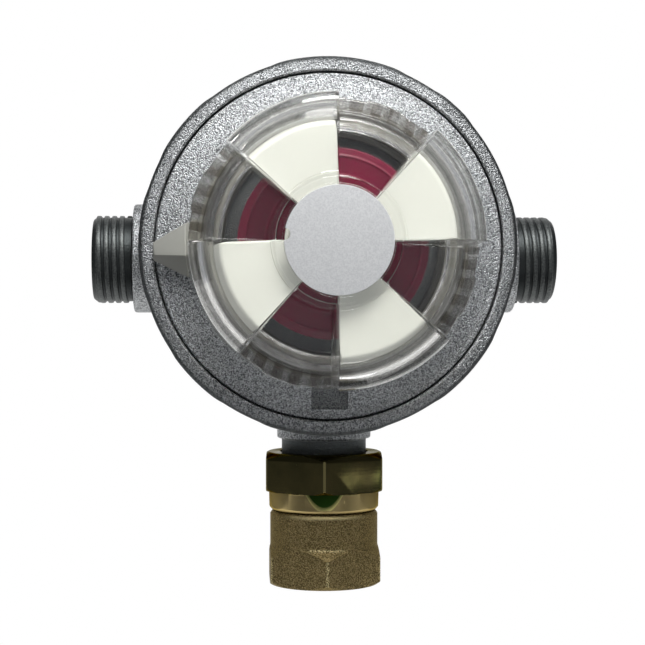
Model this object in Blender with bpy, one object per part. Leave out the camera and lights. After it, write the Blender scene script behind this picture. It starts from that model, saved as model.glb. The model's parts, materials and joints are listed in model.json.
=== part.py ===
"""Automatic changeover gas regulator.

The knob faces -Y, the two inlets leave along X and the outlet leaves downwards.
The origin is the middle of the flat pad on the back, on the knob's axis.
Depth is measured from that pad towards the knob.
"""
import math

import bmesh
import bpy
from mathutils import Vector

MM = 0.001

# Sides of a round piece, by its size
LARGE_SIDE_COUNT = 36
MEDIUM_SIDE_COUNT = 24
SMALL_SIDE_COUNT = 16
TINY_SIDE_COUNT = 12

# Clearances
GAP = 0.3 * MM                    # between pieces that touch
PIN_CLEARANCE = 0.15 * MM         # round a lever pin

# Cast body
RIM_RADIUS = 43.7 * MM
RIM_FRONT = 41.2 * MM             # depth of the rolled lip's crest
RIM_THICKNESS = 7.4 * MM
LIP_WIDTH = 3.6 * MM              # from the rim to the inner edge of the rolled lip
LIP_THICKNESS = 1.3 * MM
CLAMP_WIDTH = 2.2 * MM            # how far the lip reaches over the bonnet
RIM_OVERHANG = 5.7 * MM           # of the rim over the bowl
BOWL_WALL = 3.5 * MM
PAD_RADIUS = 20.0 * MM
PAD_HEIGHT = 2.0 * MM
FIXING_SPACING = 30.0 * MM
FIXING_HOLE_RADIUS = 2.1 * MM
FIXING_FLOOR = 2.5 * MM           # left at the end of a fixing hole

# Inlets
INLET_DEPTH = 20.0 * MM           # depth of the inlet axis
INLET_OVER_FLOOR = 12.0 * MM
INLET_DROP = 2.5 * MM             # how far it lies below the knob's axis
BOSS_RADIUS = 13.0 * MM
BOSS_PROUD = 1.9 * MM             # how far a boss stands out past the rim
NIPPLE_LENGTH = 9.6 * MM          # of the nipple past its boss
NIPPLE_RADIUS = 10.48 * MM
NIPPLE_BORE = 6.5 * MM
NIPPLE_LEAD = 2.6 * MM
STUB_RADIUS = 8.6 * MM
STUB_LENGTH = 6.6 * MM
FILTER_THICKNESS = 2.0 * MM
FILTER_STEP = 1.6 * MM

# Valves
NOZZLE_RADIUS = 5.5 * MM
NOZZLE_SHARE = 0.1854             # its length, of the rim radius
NOZZLE_LIP_RADIUS = 2.4 * MM
NOZZLE_LIP = 1.4 * MM
ORIFICE_RADIUS = 1.1 * MM
GUIDE_RADIUS = 9.0 * MM
PLUNGER_RADIUS = 4.2 * MM
PLUNGER_SHARE = 0.1556            # its length, of the rim radius
NECK_RADIUS = 1.4 * MM
PLUNGER_HEAD_RADIUS = 2.8 * MM
PAD_THICKNESS = 1.4 * MM
VALVE_OPENING = 1.1 * MM
PORT_RADIUS = 1.6 * MM            # gas port through the plunger's guide

# Levers
PIVOT_TO_GUIDE = 3.4 * MM
LEVER_LEG = 8.0 * MM              # from the pivot to the plunger
LEVER_SHEET = 1.2 * MM
LEVER_WIDTH = 8.0 * MM
LEVER_TIP_SHARE = 0.1053          # place of the tip, of the rim radius
KEYHOLE_THROAT = 55.0             # degrees
PIN_RADIUS = 1.2 * MM
EYE_RADIUS = 2.9 * MM
EAR_THICKNESS = 2.5 * MM
LEVER_SPRING_RADIUS = 3.0 * MM
LEVER_SPRING_WIRE = 0.45 * MM
LEVER_SPRING_TURNS = 4

# Diaphragm
DIAPHRAGM_THICKNESS = 1.2 * MM
ROLL_WIDTH = 9.2 * MM
ROLL_HEIGHT = 2.2 * MM
PLATE_THICKNESS = 1.0 * MM
HUB_FLANGE_RADIUS = 8.0 * MM
HUB_FLANGE = 1.1 * MM
HUB_RADIUS = 4.2 * MM
NUT_HEIGHT = 2.8 * MM
NUT_ACROSS_FLATS = 10.4 * MM
STROKE = 2.0 * MM

# Bonnet
FLANGE_THICKNESS = 2.1 * MM
SLOPE_WIDTH = 7.0 * MM            # from the seam to the knee of the dome
DOME_WIDTH = 15.0 * MM            # from the seam to the flat of the dome
CROWN_RISE = 2.7 * MM             # crown above the lip's crest
BONNET_WALL = 2.0 * MM
TURRET_RADIUS = 10.0 * MM
TURRET_WALL = 1.6 * MM
TURRET_HEIGHT = 14.4 * MM
TURRET_ROOF = 2.8 * MM
NOTCH_WIDTH = 8.3 * MM
NOTCH_INSET = 2.5 * MM            # from the seam
NOTCH_LENGTH = 7.0 * MM
NOTCH_FLOOR = RIM_FRONT + 0.6 * MM

# Knob
KNOB_RADIUS = 32.5 * MM
KNOB_HEIGHT = 27.0 * MM
KNOB_WALL = 2.1 * MM
BOSS_WALL = 2.1 * MM              # round the spindle
HEAD_RECESS = 2.0 * MM            # for the screw under the label
STATION_STEP = 0.3                # degrees, run-in of a steep wall
SKIRT_HEIGHT = 10.0 * MM
LOBE_HEIGHT = 25.5 * MM
VALLEY_HEIGHT = 14.0 * MM
LOBE_ANGLE = 49.0                 # degrees
LOBE_COUNT = 4
SIDE_WALL_ANGLE = 3.6             # degrees, wall between lobe and valley
HUB_TOP_RADIUS = 13.4 * MM
LABEL_RADIUS = 12.0 * MM
LABEL_THICKNESS = 0.6 * MM
FLUTE_COUNT = 12
FLUTE_ANGLE = 15.0                # degrees
FLUTE_START = 15.5                # degrees
FLUTE_DEPTH = 0.5 * MM
SCREW_RADIUS = 1.4 * MM
SCREW_HEAD_RADIUS = 2.8 * MM
SCREW_LENGTH = 8.0 * MM

# Pointer
POINTER_INSET = 3.5 * MM          # of its tip from the rim
POINTER_RING_WIDTH = 7.3 * MM     # from the knob's edge
POINTER_THICKNESS = 1.7 * MM
POINTER_TIP_WIDTH = 4.0 * MM
POINTER_BASE_WIDTH = 12.0 * MM
POINTER_RISE = 4.4 * MM
POINTER_ANGLE = 182.0             # degrees from +X, seen from the front

# Spindle
SPINDLE_RADIUS = 2.2 * MM
SQUARE_WIDTH = 3.2 * MM
SHOULDER_RADIUS = 3.6 * MM
CIRCLIP_RADIUS = 3.8 * MM
CIRCLIP_THICKNESS = 0.5 * MM
CAM_RADIUS = 9.0 * MM
CAM_THICKNESS = 2.4 * MM
CAM_STEP = 0.8 * MM
CAM_HUB_LENGTH = 1.6 * MM

# Indicator
INDICATOR_OUTER = 20.5 * MM
INDICATOR_INNER = 10.6 * MM
INDICATOR_HEIGHT = 3.0 * MM
INDICATOR_LEG_RADIUS = 1.3 * MM
INDICATOR_LEG_PLACE = 13.5 * MM

# Main spring
SPRING_RADIUS = 7.15 * MM         # to the middle of the wire
SPRING_WIRE = 0.75 * MM           # radius of the wire
SPRING_TURNS = 5

# Outlet
OUTLET_BOSS_RADIUS = 11.3 * MM
OUTLET_BOSS_PROUD = 1.8 * MM      # past the rim
OUTLET_NECK_RADIUS = 10.2 * MM
OUTLET_NECK_LENGTH = 9.5 * MM
OUTLET_BORE = 7.5 * MM
UNION_SPACE = 3.3 * MM            # bare neck above the union nut
UNION_FLATS = 27.7 * MM
UNION_HEX_LENGTH = 9.2 * MM
UNION_COLLAR_LENGTH = 4.6 * MM
UNION_ROOF = 2.4 * MM
UNION_THREAD_RADIUS = 11.9 * MM
UNION_TURN = 3.0                  # degrees, how the hexagon stands
CLIP_WIRE = 0.7 * MM
GASKET_THICKNESS = 1.5 * MM
COUPLING_REACH = 31.8 * MM        # from the top of the union nut
COUPLING_FLATS = 26.1 * MM
COUPLING_HEX_LENGTH = 8.9 * MM
SOCKET_RADIUS = 9.3 * MM
SOCKET_DEPTH = 15.0 * MM

# Radii and reaches that follow from the sizes above
FLOOR_THICKNESS = INLET_DEPTH - INLET_OVER_FLOOR
FIXING_HOLE_DEPTH = FLOOR_THICKNESS - FIXING_FLOOR
LEVER_PIVOT_DEPTH = INLET_DEPTH - LEVER_LEG
NOZZLE_LENGTH = NOZZLE_SHARE * RIM_RADIUS
PLUNGER_LENGTH = PLUNGER_SHARE * RIM_RADIUS
LEVER_TIP_X = LEVER_TIP_SHARE * RIM_RADIUS
POINTER_INNER = KNOB_RADIUS - POINTER_RING_WIDTH
SEAM_RADIUS = RIM_RADIUS - LIP_WIDTH
POCKET_RADIUS = SEAM_RADIUS + CLAMP_WIDTH
BOWL_RADIUS = RIM_RADIUS - RIM_OVERHANG
CAVITY_RADIUS = BOWL_RADIUS - BOWL_WALL
BOSS_REACH = RIM_RADIUS + BOSS_PROUD
NIPPLE_REACH = BOSS_REACH + NIPPLE_LENGTH
STUB_END_X = BOSS_REACH - STUB_LENGTH
NOZZLE_SEAT_X = STUB_END_X - NOZZLE_LENGTH
GUIDE_START = NOZZLE_SEAT_X - PLUNGER_LENGTH - 0.1 * MM
LEVER_PIVOT_X = GUIDE_START - PIVOT_TO_GUIDE
LEVER_SPRING_X = 0.5 * (LEVER_TIP_X + LEVER_PIVOT_X) - 0.6 * MM
ROLL_RADIUS = CAVITY_RADIUS - 5.0 * MM
PLATE_RADIUS = ROLL_RADIUS - 0.5 * ROLL_WIDTH - 0.9 * MM
POINTER_REACH = RIM_RADIUS - POINTER_INSET
NOTCH_OUTER = SEAM_RADIUS - NOTCH_INSET
OUTLET_BOSS_DROP = RIM_RADIUS + OUTLET_BOSS_PROUD
OUTLET_NECK_END = OUTLET_BOSS_DROP + OUTLET_NECK_LENGTH
UNION_TOP = OUTLET_BOSS_DROP + UNION_SPACE
COUPLING_END = UNION_TOP + COUPLING_REACH

# Places along the depth that follow from the sizes above
LIP_UNDER = RIM_FRONT - LIP_THICKNESS
FLANGE_TOP = LIP_UNDER - GAP
FLANGE_UNDER = FLANGE_TOP - FLANGE_THICKNESS
DIAPHRAGM_FRONT = FLANGE_UNDER - GAP
DIAPHRAGM_REAR = DIAPHRAGM_FRONT - DIAPHRAGM_THICKNESS
SHELF = DIAPHRAGM_REAR - GAP
CROWN = RIM_FRONT + CROWN_RISE
TURRET_TOP = CROWN + TURRET_HEIGHT
TURRET_CEILING = TURRET_TOP - TURRET_ROOF
KNOB_BASE = CROWN + 2 * GAP + POINTER_THICKNESS
PLATE_REAR = DIAPHRAGM_FRONT + GAP
PLATE_FRONT = PLATE_REAR + PLATE_THICKNESS
NUT_REAR = PLATE_FRONT + GAP
NUT_FRONT = NUT_REAR + NUT_HEIGHT
HUB_FRONT = NUT_FRONT + 0.6 * MM
HUB_FLANGE_FRONT = DIAPHRAGM_REAR - GAP
HUB_REAR = HUB_FLANGE_FRONT - HUB_FLANGE
SEAL_DEPTH = NUT_REAR + 0.5 * NUT_HEIGHT
CAM_FRONT = HUB_REAR - GAP
CAM_DISC_FRONT = CAM_FRONT - CAM_HUB_LENGTH
CAM_REAR = CAM_DISC_FRONT - CAM_THICKNESS
LEVER_FRONT = CAM_REAR - GAP
SQUARE_END = CAM_FRONT + STROKE + 3 * GAP
SHOULDER_FRONT = TURRET_CEILING - GAP
CIRCLIP_REAR = TURRET_TOP + GAP
BOSS_BOTTOM = CIRCLIP_REAR + CIRCLIP_THICKNESS + GAP
SPINDLE_TOP = KNOB_BASE + KNOB_HEIGHT - 6.4 * MM
LABEL_FLOOR = KNOB_HEIGHT - GAP - LABEL_THICKNESS + 0.1 * MM


def material(name, colour, roughness, metallic, alpha=1.0):
    """A plain finish for one kind of stuff."""
    found = bpy.data.materials.get(name)
    if found:
        return found
    made = bpy.data.materials.new(name)
    made.use_nodes = True
    shader = made.node_tree.nodes["Principled BSDF"]
    shader.inputs["Base Color"].default_value = (*colour, 1.0)
    shader.inputs["Roughness"].default_value = roughness
    shader.inputs["Metallic"].default_value = metallic
    shader.inputs["Alpha"].default_value = alpha
    return made


FINISHES = {
    "die_cast": ((0.45, 0.47, 0.49), 0.45, 0.85),
    "nipple_steel": ((0.16, 0.17, 0.18), 0.32, 0.9),
    "polished_brass": ((0.55, 0.42, 0.16), 0.2, 1.0),
    "forged_brass": ((0.42, 0.33, 0.17), 0.5, 0.9),
    "clear_plastic": ((0.92, 0.93, 0.93), 0.08, 0.0, 0.25),
    "white_plastic": ((0.86, 0.86, 0.80), 0.45, 0.0),
    "red_plastic": ((0.32, 0.02, 0.07), 0.3, 0.0),
    "grey_plastic": ((0.60, 0.60, 0.56), 0.5, 0.0),
    "label_silver": ((0.62, 0.63, 0.64), 0.45, 0.3),
    "steel": ((0.55, 0.56, 0.58), 0.3, 1.0),
    "rubber": ((0.03, 0.03, 0.03), 0.7, 0.0),
    "gasket": ((0.10, 0.16, 0.12), 0.8, 0.0),
    "sintered_bronze": ((0.40, 0.27, 0.13), 0.7, 0.8),
}


def finish(name):
    return material(name, *FINISHES[name])


def axis_empty(name, place, turn):
    """An empty whose Z axis is the line that a group of pieces lies on."""
    empty = bpy.data.objects.new(name, None)
    empty.location = place
    empty.rotation_euler = turn
    bpy.context.scene.collection.objects.link(empty)
    return empty


def mesh_object(name, points, faces, parent, stuff, smooth=35.0):
    mesh = bpy.data.meshes.new(name)
    mesh.from_pydata([tuple(p) for p in points], [], faces)
    shape = bmesh.new()
    shape.from_mesh(mesh)
    bmesh.ops.recalc_face_normals(shape, faces=shape.faces)
    shape.to_mesh(mesh)
    shape.free()
    if smooth:
        mesh.shade_smooth()
        mesh.set_sharp_from_angle(angle=math.radians(smooth))
    body = bpy.data.objects.new(name, mesh)
    body.parent = parent
    bpy.context.scene.collection.objects.link(body)
    if stuff:
        mesh.materials.append(finish(stuff))
    return body


def cutter(tool):
    """Marks a helper solid that only shapes other pieces."""
    tool.hide_render = True
    tool.display_type = "WIRE"
    return tool


def combine(target, tool, operation):
    step = target.modifiers.new(operation.lower(), "BOOLEAN")
    step.operation = operation
    step.solver = "EXACT"
    step.object = cutter(tool)


def combine_all(target, tools, operation):
    """Joins or cuts with a whole set of tools in one step."""
    group = bpy.data.collections.new(f"{target.name}_{operation.lower()}")
    bpy.context.scene.collection.children.link(group)
    for tool in tools:
        group.objects.link(cutter(tool))
    step = target.modifiers.new(operation.lower(), "BOOLEAN")
    step.operation = operation
    step.solver = "EXACT"
    step.operand_type = "COLLECTION"
    step.collection = group


def polar(radius, angle, height):
    turn = math.radians(angle)
    return Vector((radius * math.cos(turn), radius * math.sin(turn), height))


def turned(name, outline, parent, stuff, segments=32, start=0.0):
    """Turns a closed outline of (radius, height) points round local Z."""
    points, rings = [], []
    for radius, height in outline:
        if radius == 0:
            rings.append([len(points)] * segments)
            points.append(Vector((0, 0, height)))
            continue
        rings.append(list(range(len(points), len(points) + segments)))
        points += [polar(radius, start + 360 * k / segments, height) for k in range(segments)]
    faces = []
    for ring, following in zip(rings, rings[1:] + rings[:1]):
        for k in range(segments):
            m = (k + 1) % segments
            corners = [ring[k], ring[m], following[m], following[k]]
            corners = list(dict.fromkeys(corners))
            if len(corners) > 2:
                faces.append(corners)
    return mesh_object(name, points, faces, parent, stuff)


def sector_loft(name, stations, parent, stuff):
    """Joins closed (radius, height) sections that change with the angle."""
    count = len(stations[0][1])
    points = [polar(r, angle, h) for angle, section in stations for r, h in section]
    faces = []
    for s in range(len(stations)):
        here, there = s * count, (s + 1) % len(stations) * count
        for k in range(count):
            m = (k + 1) % count
            faces.append([here + k, here + m, there + m, there + k])
    return mesh_object(name, points, faces, parent, stuff)


def prism(name, outline, low, high, parent, stuff):
    """Extrudes a closed outline of (x, y) points along local Z."""
    count = len(outline)
    points = [(x, y, z) for z in (low, high) for x, y in outline]
    faces = [list(range(count)), list(range(count, 2 * count))]
    for k in range(count):
        m = (k + 1) % count
        faces.append([k, m, count + m, count + k])
    return mesh_object(name, points, faces, parent, stuff)


def arc(centre_x, centre_y, radius, start, end, steps):
    turn = [start + (end - start) * k / steps for k in range(steps + 1)]
    return [(centre_x + radius * math.cos(math.radians(a)),
             centre_y + radius * math.sin(math.radians(a))) for a in turn]


def rod(name, radius, low, high, parent, stuff=None, segments=24):
    return turned(name, [(0, low), (radius, low), (radius, high), (0, high)],
                  parent, stuff, segments)


def box(name, x, y, z, parent, stuff=None):
    """A block between pairs of limits."""
    outline = [(x[0], y[0]), (x[1], y[0]), (x[1], y[1]), (x[0], y[1])]
    return prism(name, outline, z[0], z[1], parent, stuff)


def hexagon(name, flats, low, high, turn, parent):
    radius = flats / math.sqrt(3)
    outline = arc(0, 0, radius, turn, turn + 300, 5)
    return prism(name, outline, low, high, parent, None)


def coil(name, radius, wire, turns, low, high, parent, stuff, steps=9):
    """A compression spring whose first and last turns lie flat."""
    curve = bpy.data.curves.new(name, "CURVE")
    curve.dimensions = "3D"
    curve.bevel_depth = wire
    curve.bevel_resolution = 0
    curve.use_fill_caps = True
    total = int((turns + 2) * steps)
    line = curve.splines.new("POLY")
    line.points.add(total)
    bottom, top = low + wire, high - wire
    for k in range(total + 1):
        done = k / steps
        climb = min(max((done - 1 + 0.12) / (turns + 0.24), 0), 1)
        flat = 2.3 * wire * (min(done, 1) + max(done - turns - 1, 0))
        height = bottom + (top - bottom - 4.6 * wire) * climb + flat
        line.points[k].co = (*polar(radius, 360 * done, height), 1.0)
    spring = bpy.data.objects.new(name, curve)
    spring.parent = parent
    bpy.context.scene.collection.objects.link(spring)
    curve.materials.append(finish(stuff))
    return spring


def ring(name, radius, wire, height, parent, stuff, sides=8, segments=32):
    """A ring of round section, such as a seal."""
    section = arc(radius, height, wire, 0, 360, sides)[:-1]
    return turned(name, section, parent, stuff, segments)


def body_outline():
    """Section of the cast bowl, its rolled lip and the groove that holds the bonnet."""
    rim_rear = RIM_FRONT - RIM_THICKNESS
    return [
        (0, 0), (PAD_RADIUS, 0), (PAD_RADIUS, PAD_HEIGHT), (BOWL_RADIUS - 5 * MM, PAD_HEIGHT),
        (BOWL_RADIUS - 2.2 * MM, PAD_HEIGHT + 1.4 * MM), (BOWL_RADIUS - 1 * MM, PAD_HEIGHT + 4 * MM),
        (BOWL_RADIUS, rim_rear - 2.4 * MM), (BOWL_RADIUS + 2.6 * MM, rim_rear),
        (RIM_RADIUS - 0.7 * MM, rim_rear), (RIM_RADIUS, rim_rear + 0.7 * MM),
        (RIM_RADIUS, RIM_FRONT - 2.1 * MM), (RIM_RADIUS - 1.1 * MM, RIM_FRONT - 0.6 * MM),
        (SEAM_RADIUS + 1.1 * MM, RIM_FRONT), (SEAM_RADIUS, RIM_FRONT - 0.6 * MM),
        (SEAM_RADIUS, LIP_UNDER), (POCKET_RADIUS, LIP_UNDER), (POCKET_RADIUS, SHELF),
        (CAVITY_RADIUS, SHELF), (CAVITY_RADIUS, FLOOR_THICKNESS), (0, FLOOR_THICKNESS),
    ]


def inlet_bore(name, axis):
    """The stepped hole from the nipple's seat to the plunger's guide."""
    slide = PLUNGER_RADIUS + GAP
    seat = NOZZLE_RADIUS + GAP
    stub = STUB_RADIUS + GAP
    shoulder = NOZZLE_SEAT_X + GAP
    stub_seat = STUB_END_X - GAP
    return turned(name, [
        (0, GUIDE_START - 1 * MM), (slide, GUIDE_START - 1 * MM), (slide, shoulder),
        (seat, shoulder), (seat, stub_seat), (stub, stub_seat),
        (stub, BOSS_REACH + 1 * MM), (0, BOSS_REACH + 1 * MM)], axis, None, SMALL_SIDE_COUNT)


def pivot_ears(side, pivot):
    """Two ears on the floor that hold one lever pin."""
    base = FLOOR_THICKNESS - LEVER_PIVOT_DEPTH - 1 * MM
    outline = [(-EYE_RADIUS, base), (EYE_RADIUS, base)] + arc(0, 0, EYE_RADIUS, 0, 180, 6)
    start = 0.5 * LEVER_WIDTH + 2 * GAP
    ears = []
    for name, low in (("upper", start), ("lower", -start - EAR_THICKNESS)):
        ears.append(prism(f"{side}_{name}_ear", outline, low, low + EAR_THICKNESS, pivot, None))
    return ears


def outlet_outline(start):
    """Section of the outlet boss and its neck, with the groove of the nut's retaining ring."""
    neck = OUTLET_NECK_RADIUS
    groove = UNION_TOP + UNION_ROOF + GAP
    groove_end = groove + 2 * CLIP_WIRE + GAP
    return [
        (0, start), (OUTLET_BOSS_RADIUS, start), (OUTLET_BOSS_RADIUS, OUTLET_BOSS_DROP),
        (neck, OUTLET_BOSS_DROP), (neck, groove), (neck - 0.6 * MM, groove),
        (neck - 0.6 * MM, groove_end), (neck, groove_end), (neck, OUTLET_NECK_END - 0.4 * MM),
        (neck - 0.4 * MM, OUTLET_NECK_END), (0, OUTLET_NECK_END)]


def make_body(knob_axis, inlets, pivots, outlet_axis):
    body = turned("main_body", body_outline(), knob_axis, "die_cast", LARGE_SIDE_COUNT)
    start = BOWL_RADIUS - BOWL_WALL + 0.3 * MM
    additions = []
    for side, axis in inlets.items():
        additions.append(turned(f"{side}_boss", [
            (0, start), (BOSS_RADIUS, start), (BOSS_RADIUS, BOSS_REACH - 0.5 * MM),
            (BOSS_RADIUS - 0.5 * MM, BOSS_REACH), (0, BOSS_REACH)], axis, None, MEDIUM_SIDE_COUNT))
        additions.append(rod(f"{side}_guide", GUIDE_RADIUS, GUIDE_START, start + 1.2 * MM, axis,
                             None, SMALL_SIDE_COUNT))
        additions += pivot_ears(side, pivots[side])
        spring_axis = axis_empty(f"{side}_spring_axis",
                                 (SIDES[side] * LEVER_SPRING_X, 0, -INLET_DROP),
                                 (math.radians(90), 0, 0))
        additions.append(rod(f"{side}_spring_peg", LEVER_SPRING_RADIUS - LEVER_SPRING_WIRE - GAP,
                             FLOOR_THICKNESS - 1 * MM, FLOOR_THICKNESS + 3 * MM, spring_axis,
                             None, 12))
    additions.append(turned("outlet_boss", outlet_outline(start), outlet_axis, None, MEDIUM_SIDE_COUNT))
    combine_all(body, additions, "UNION")
    cuts = []
    for side, axis in inlets.items():
        cuts.append(inlet_bore(f"{side}_bore", axis))
        reach = GUIDE_RADIUS + 1.5 * MM
        port = rod(f"{side}_port", PORT_RADIUS, -reach, reach, pivots[side], None, 12)
        port.location = (SIDES[side] * (NOZZLE_SEAT_X - PORT_RADIUS - GAP - LEVER_PIVOT_X),
                         INLET_DEPTH - LEVER_PIVOT_DEPTH, 0)
        cuts.append(port)
        reach = 0.5 * LEVER_WIDTH + EAR_THICKNESS + 2 * MM
        cuts.append(rod(f"{side}_pin_hole", PIN_RADIUS + PIN_CLEARANCE, -reach, reach, pivots[side],
                        None, 16))
        fixing = rod(f"{side}_fixing_hole", FIXING_HOLE_RADIUS, -1 * MM, FIXING_HOLE_DEPTH,
                     knob_axis, None, 16)
        fixing.location = (SIDES[side] * 0.5 * FIXING_SPACING, 0, 0)
        cuts.append(fixing)
    cuts.append(rod("outlet_passage", OUTLET_BORE, CAVITY_RADIUS - 3 * MM, OUTLET_NECK_END + 1 * MM,
                    outlet_axis, None, SMALL_SIDE_COUNT))
    combine_all(body, cuts, "DIFFERENCE")


def bonnet_outline():
    """Section of the domed cover with its central spring turret."""
    under = CROWN - BONNET_WALL
    bore = TURRET_RADIUS - TURRET_WALL
    spindle = SPINDLE_RADIUS + GAP
    return [
        (POCKET_RADIUS - GAP, FLANGE_UNDER), (POCKET_RADIUS - GAP, FLANGE_TOP),
        (SEAM_RADIUS - GAP, FLANGE_TOP), (SEAM_RADIUS - GAP, RIM_FRONT - 0.7 * MM),
        (SEAM_RADIUS - 0.9 * MM, RIM_FRONT), (SEAM_RADIUS - 2.8 * MM, RIM_FRONT + 0.8 * MM),
        (SEAM_RADIUS - SLOPE_WIDTH, CROWN - 0.9 * MM), (SEAM_RADIUS - DOME_WIDTH, CROWN - 0.3 * MM),
        (TURRET_RADIUS + 1.2 * MM, CROWN), (TURRET_RADIUS, CROWN + 1.2 * MM),
        (TURRET_RADIUS, TURRET_TOP - 0.6 * MM), (TURRET_RADIUS - 0.6 * MM, TURRET_TOP),
        (spindle, TURRET_TOP), (spindle, TURRET_CEILING), (bore, TURRET_CEILING),
        (bore, under), (SEAM_RADIUS - DOME_WIDTH + 1 * MM, under - 0.3 * MM),
        (SEAM_RADIUS - SLOPE_WIDTH, under - 1.2 * MM), (POCKET_RADIUS - 6.6 * MM, FLANGE_UNDER + 0.8 * MM),
        (POCKET_RADIUS - 7.2 * MM, FLANGE_UNDER),
    ]


def make_bonnet(knob_axis):
    bonnet = turned("bonnet", bonnet_outline(), knob_axis, "die_cast", LARGE_SIDE_COUNT)
    for k in range(2):
        hole = rod(f"indicator_hole_{k + 1}", INDICATOR_LEG_RADIUS + GAP, CROWN - 5 * MM,
                   CROWN + 2 * MM, knob_axis, None, TINY_SIDE_COUNT)
        hole.location = ((1 - 2 * k) * INDICATOR_LEG_PLACE, 0, 0)
        combine(bonnet, hole, "DIFFERENCE")
    notch = box("cast_notch", (-0.5 * NOTCH_WIDTH, 0.5 * NOTCH_WIDTH),
                (-NOTCH_OUTER, -NOTCH_OUTER + NOTCH_LENGTH), (NOTCH_FLOOR, CROWN + 1 * MM), knob_axis)
    combine(bonnet, notch, "DIFFERENCE")


def make_inlet(side, axis):
    """Nipple, filter and nozzle on one inlet axis."""
    lead = NIPPLE_REACH - NIPPLE_LEAD
    turned(f"{side}_inlet_nipple", [
        (NIPPLE_BORE - FILTER_STEP, STUB_END_X), (STUB_RADIUS - 0.4 * MM, STUB_END_X),
        (STUB_RADIUS, STUB_END_X + 0.4 * MM), (STUB_RADIUS, BOSS_REACH + GAP),
        (NIPPLE_RADIUS, BOSS_REACH + GAP), (NIPPLE_RADIUS, lead),
        (NIPPLE_RADIUS - 0.35 * MM, lead + 0.3 * MM),
        (NIPPLE_RADIUS - 0.5 * MM, NIPPLE_REACH - 1.1 * MM), (NIPPLE_RADIUS - 1.3 * MM, NIPPLE_REACH),
        (NIPPLE_BORE + 1.0 * MM, NIPPLE_REACH), (NIPPLE_BORE, NIPPLE_REACH - 1.7 * MM),
        (NIPPLE_BORE, STUB_END_X + STUB_LENGTH - 2 * MM),
        (NIPPLE_BORE - FILTER_STEP, STUB_END_X + STUB_LENGTH - 2 * MM)],
        axis, "nipple_steel", MEDIUM_SIDE_COUNT)
    filter_start = STUB_END_X + STUB_LENGTH - 2 * MM + GAP
    turned(f"{side}_inlet_filter", [
        (0, filter_start), (NIPPLE_BORE - GAP, filter_start),
        (NIPPLE_BORE - GAP, filter_start + FILTER_THICKNESS - 0.5 * MM),
        (NIPPLE_BORE - GAP - 0.8 * MM, filter_start + FILTER_THICKNESS),
        (0, filter_start + FILTER_THICKNESS + 0.4 * MM)], axis, "sintered_bronze", SMALL_SIDE_COUNT)
    seat = NOZZLE_SEAT_X + 2 * GAP
    outer = STUB_END_X - 2 * GAP
    turned(f"{side}_nozzle", [
        (ORIFICE_RADIUS, seat - NOZZLE_LIP), (ORIFICE_RADIUS + 0.5 * MM, seat - NOZZLE_LIP),
        (NOZZLE_LIP_RADIUS, seat), (NOZZLE_RADIUS, seat), (NOZZLE_RADIUS, outer),
        (0.55 * NOZZLE_RADIUS, outer), (ORIFICE_RADIUS, outer - 2.5 * MM)],
        axis, "polished_brass", TINY_SIDE_COUNT)


def make_plunger(side, axis):
    """The sliding valve plunger with its rubber pad."""
    lip = NOZZLE_SEAT_X + 2 * GAP - NOZZLE_LIP
    face = lip - VALVE_OPENING
    pad_floor = face - PAD_THICKNESS
    shoulder = face - 0.4 * MM
    body_start = LEVER_PIVOT_X + 0.5 * LEVER_SHEET + 2 * GAP
    head_end = LEVER_PIVOT_X - 0.5 * LEVER_SHEET - 2 * GAP
    pad_radius = PLUNGER_RADIUS - 1.1 * MM
    turned(f"{side}_valve_plunger", [
        (0, head_end - 1.5 * MM), (PLUNGER_HEAD_RADIUS - 0.4 * MM, head_end - 1.5 * MM),
        (PLUNGER_HEAD_RADIUS, head_end - 1.1 * MM), (PLUNGER_HEAD_RADIUS, head_end),
        (NECK_RADIUS, head_end), (NECK_RADIUS, body_start), (PLUNGER_RADIUS, body_start),
        (PLUNGER_RADIUS, shoulder), (pad_radius + GAP, shoulder),
        (pad_radius + GAP, pad_floor - GAP), (0, pad_floor - GAP)],
        axis, "polished_brass", TINY_SIDE_COUNT)
    rod(f"{side}_valve_pad", pad_radius, pad_floor, face, axis, "rubber", TINY_SIDE_COUNT)


def lever_outline(side):
    """Side view of a bent lever about its pivot: the eye, the leg and the long arm."""
    half = 0.5 * LEVER_SHEET
    top = LEVER_FRONT - LEVER_PIVOT_DEPTH
    reach = LEVER_TIP_X - LEVER_PIVOT_X
    root = math.degrees(math.acos(half / EYE_RADIUS))
    eye = arc(0, 0, EYE_RADIUS, root, root - 360 + 2 * (90 - root), 12)
    arm = [
        (-half, top - LEVER_SHEET - 1.2 * MM), (-half - 1.2 * MM, top - LEVER_SHEET),
        (reach + 1 * MM, top - LEVER_SHEET), (reach, top - 0.5 * LEVER_SHEET),
        (reach + 0.6 * MM, top), (half - 0.9 * MM, top), (half, top - 0.9 * MM)]
    return [(SIDES[side] * x, y) for x, y in eye + arm]


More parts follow.
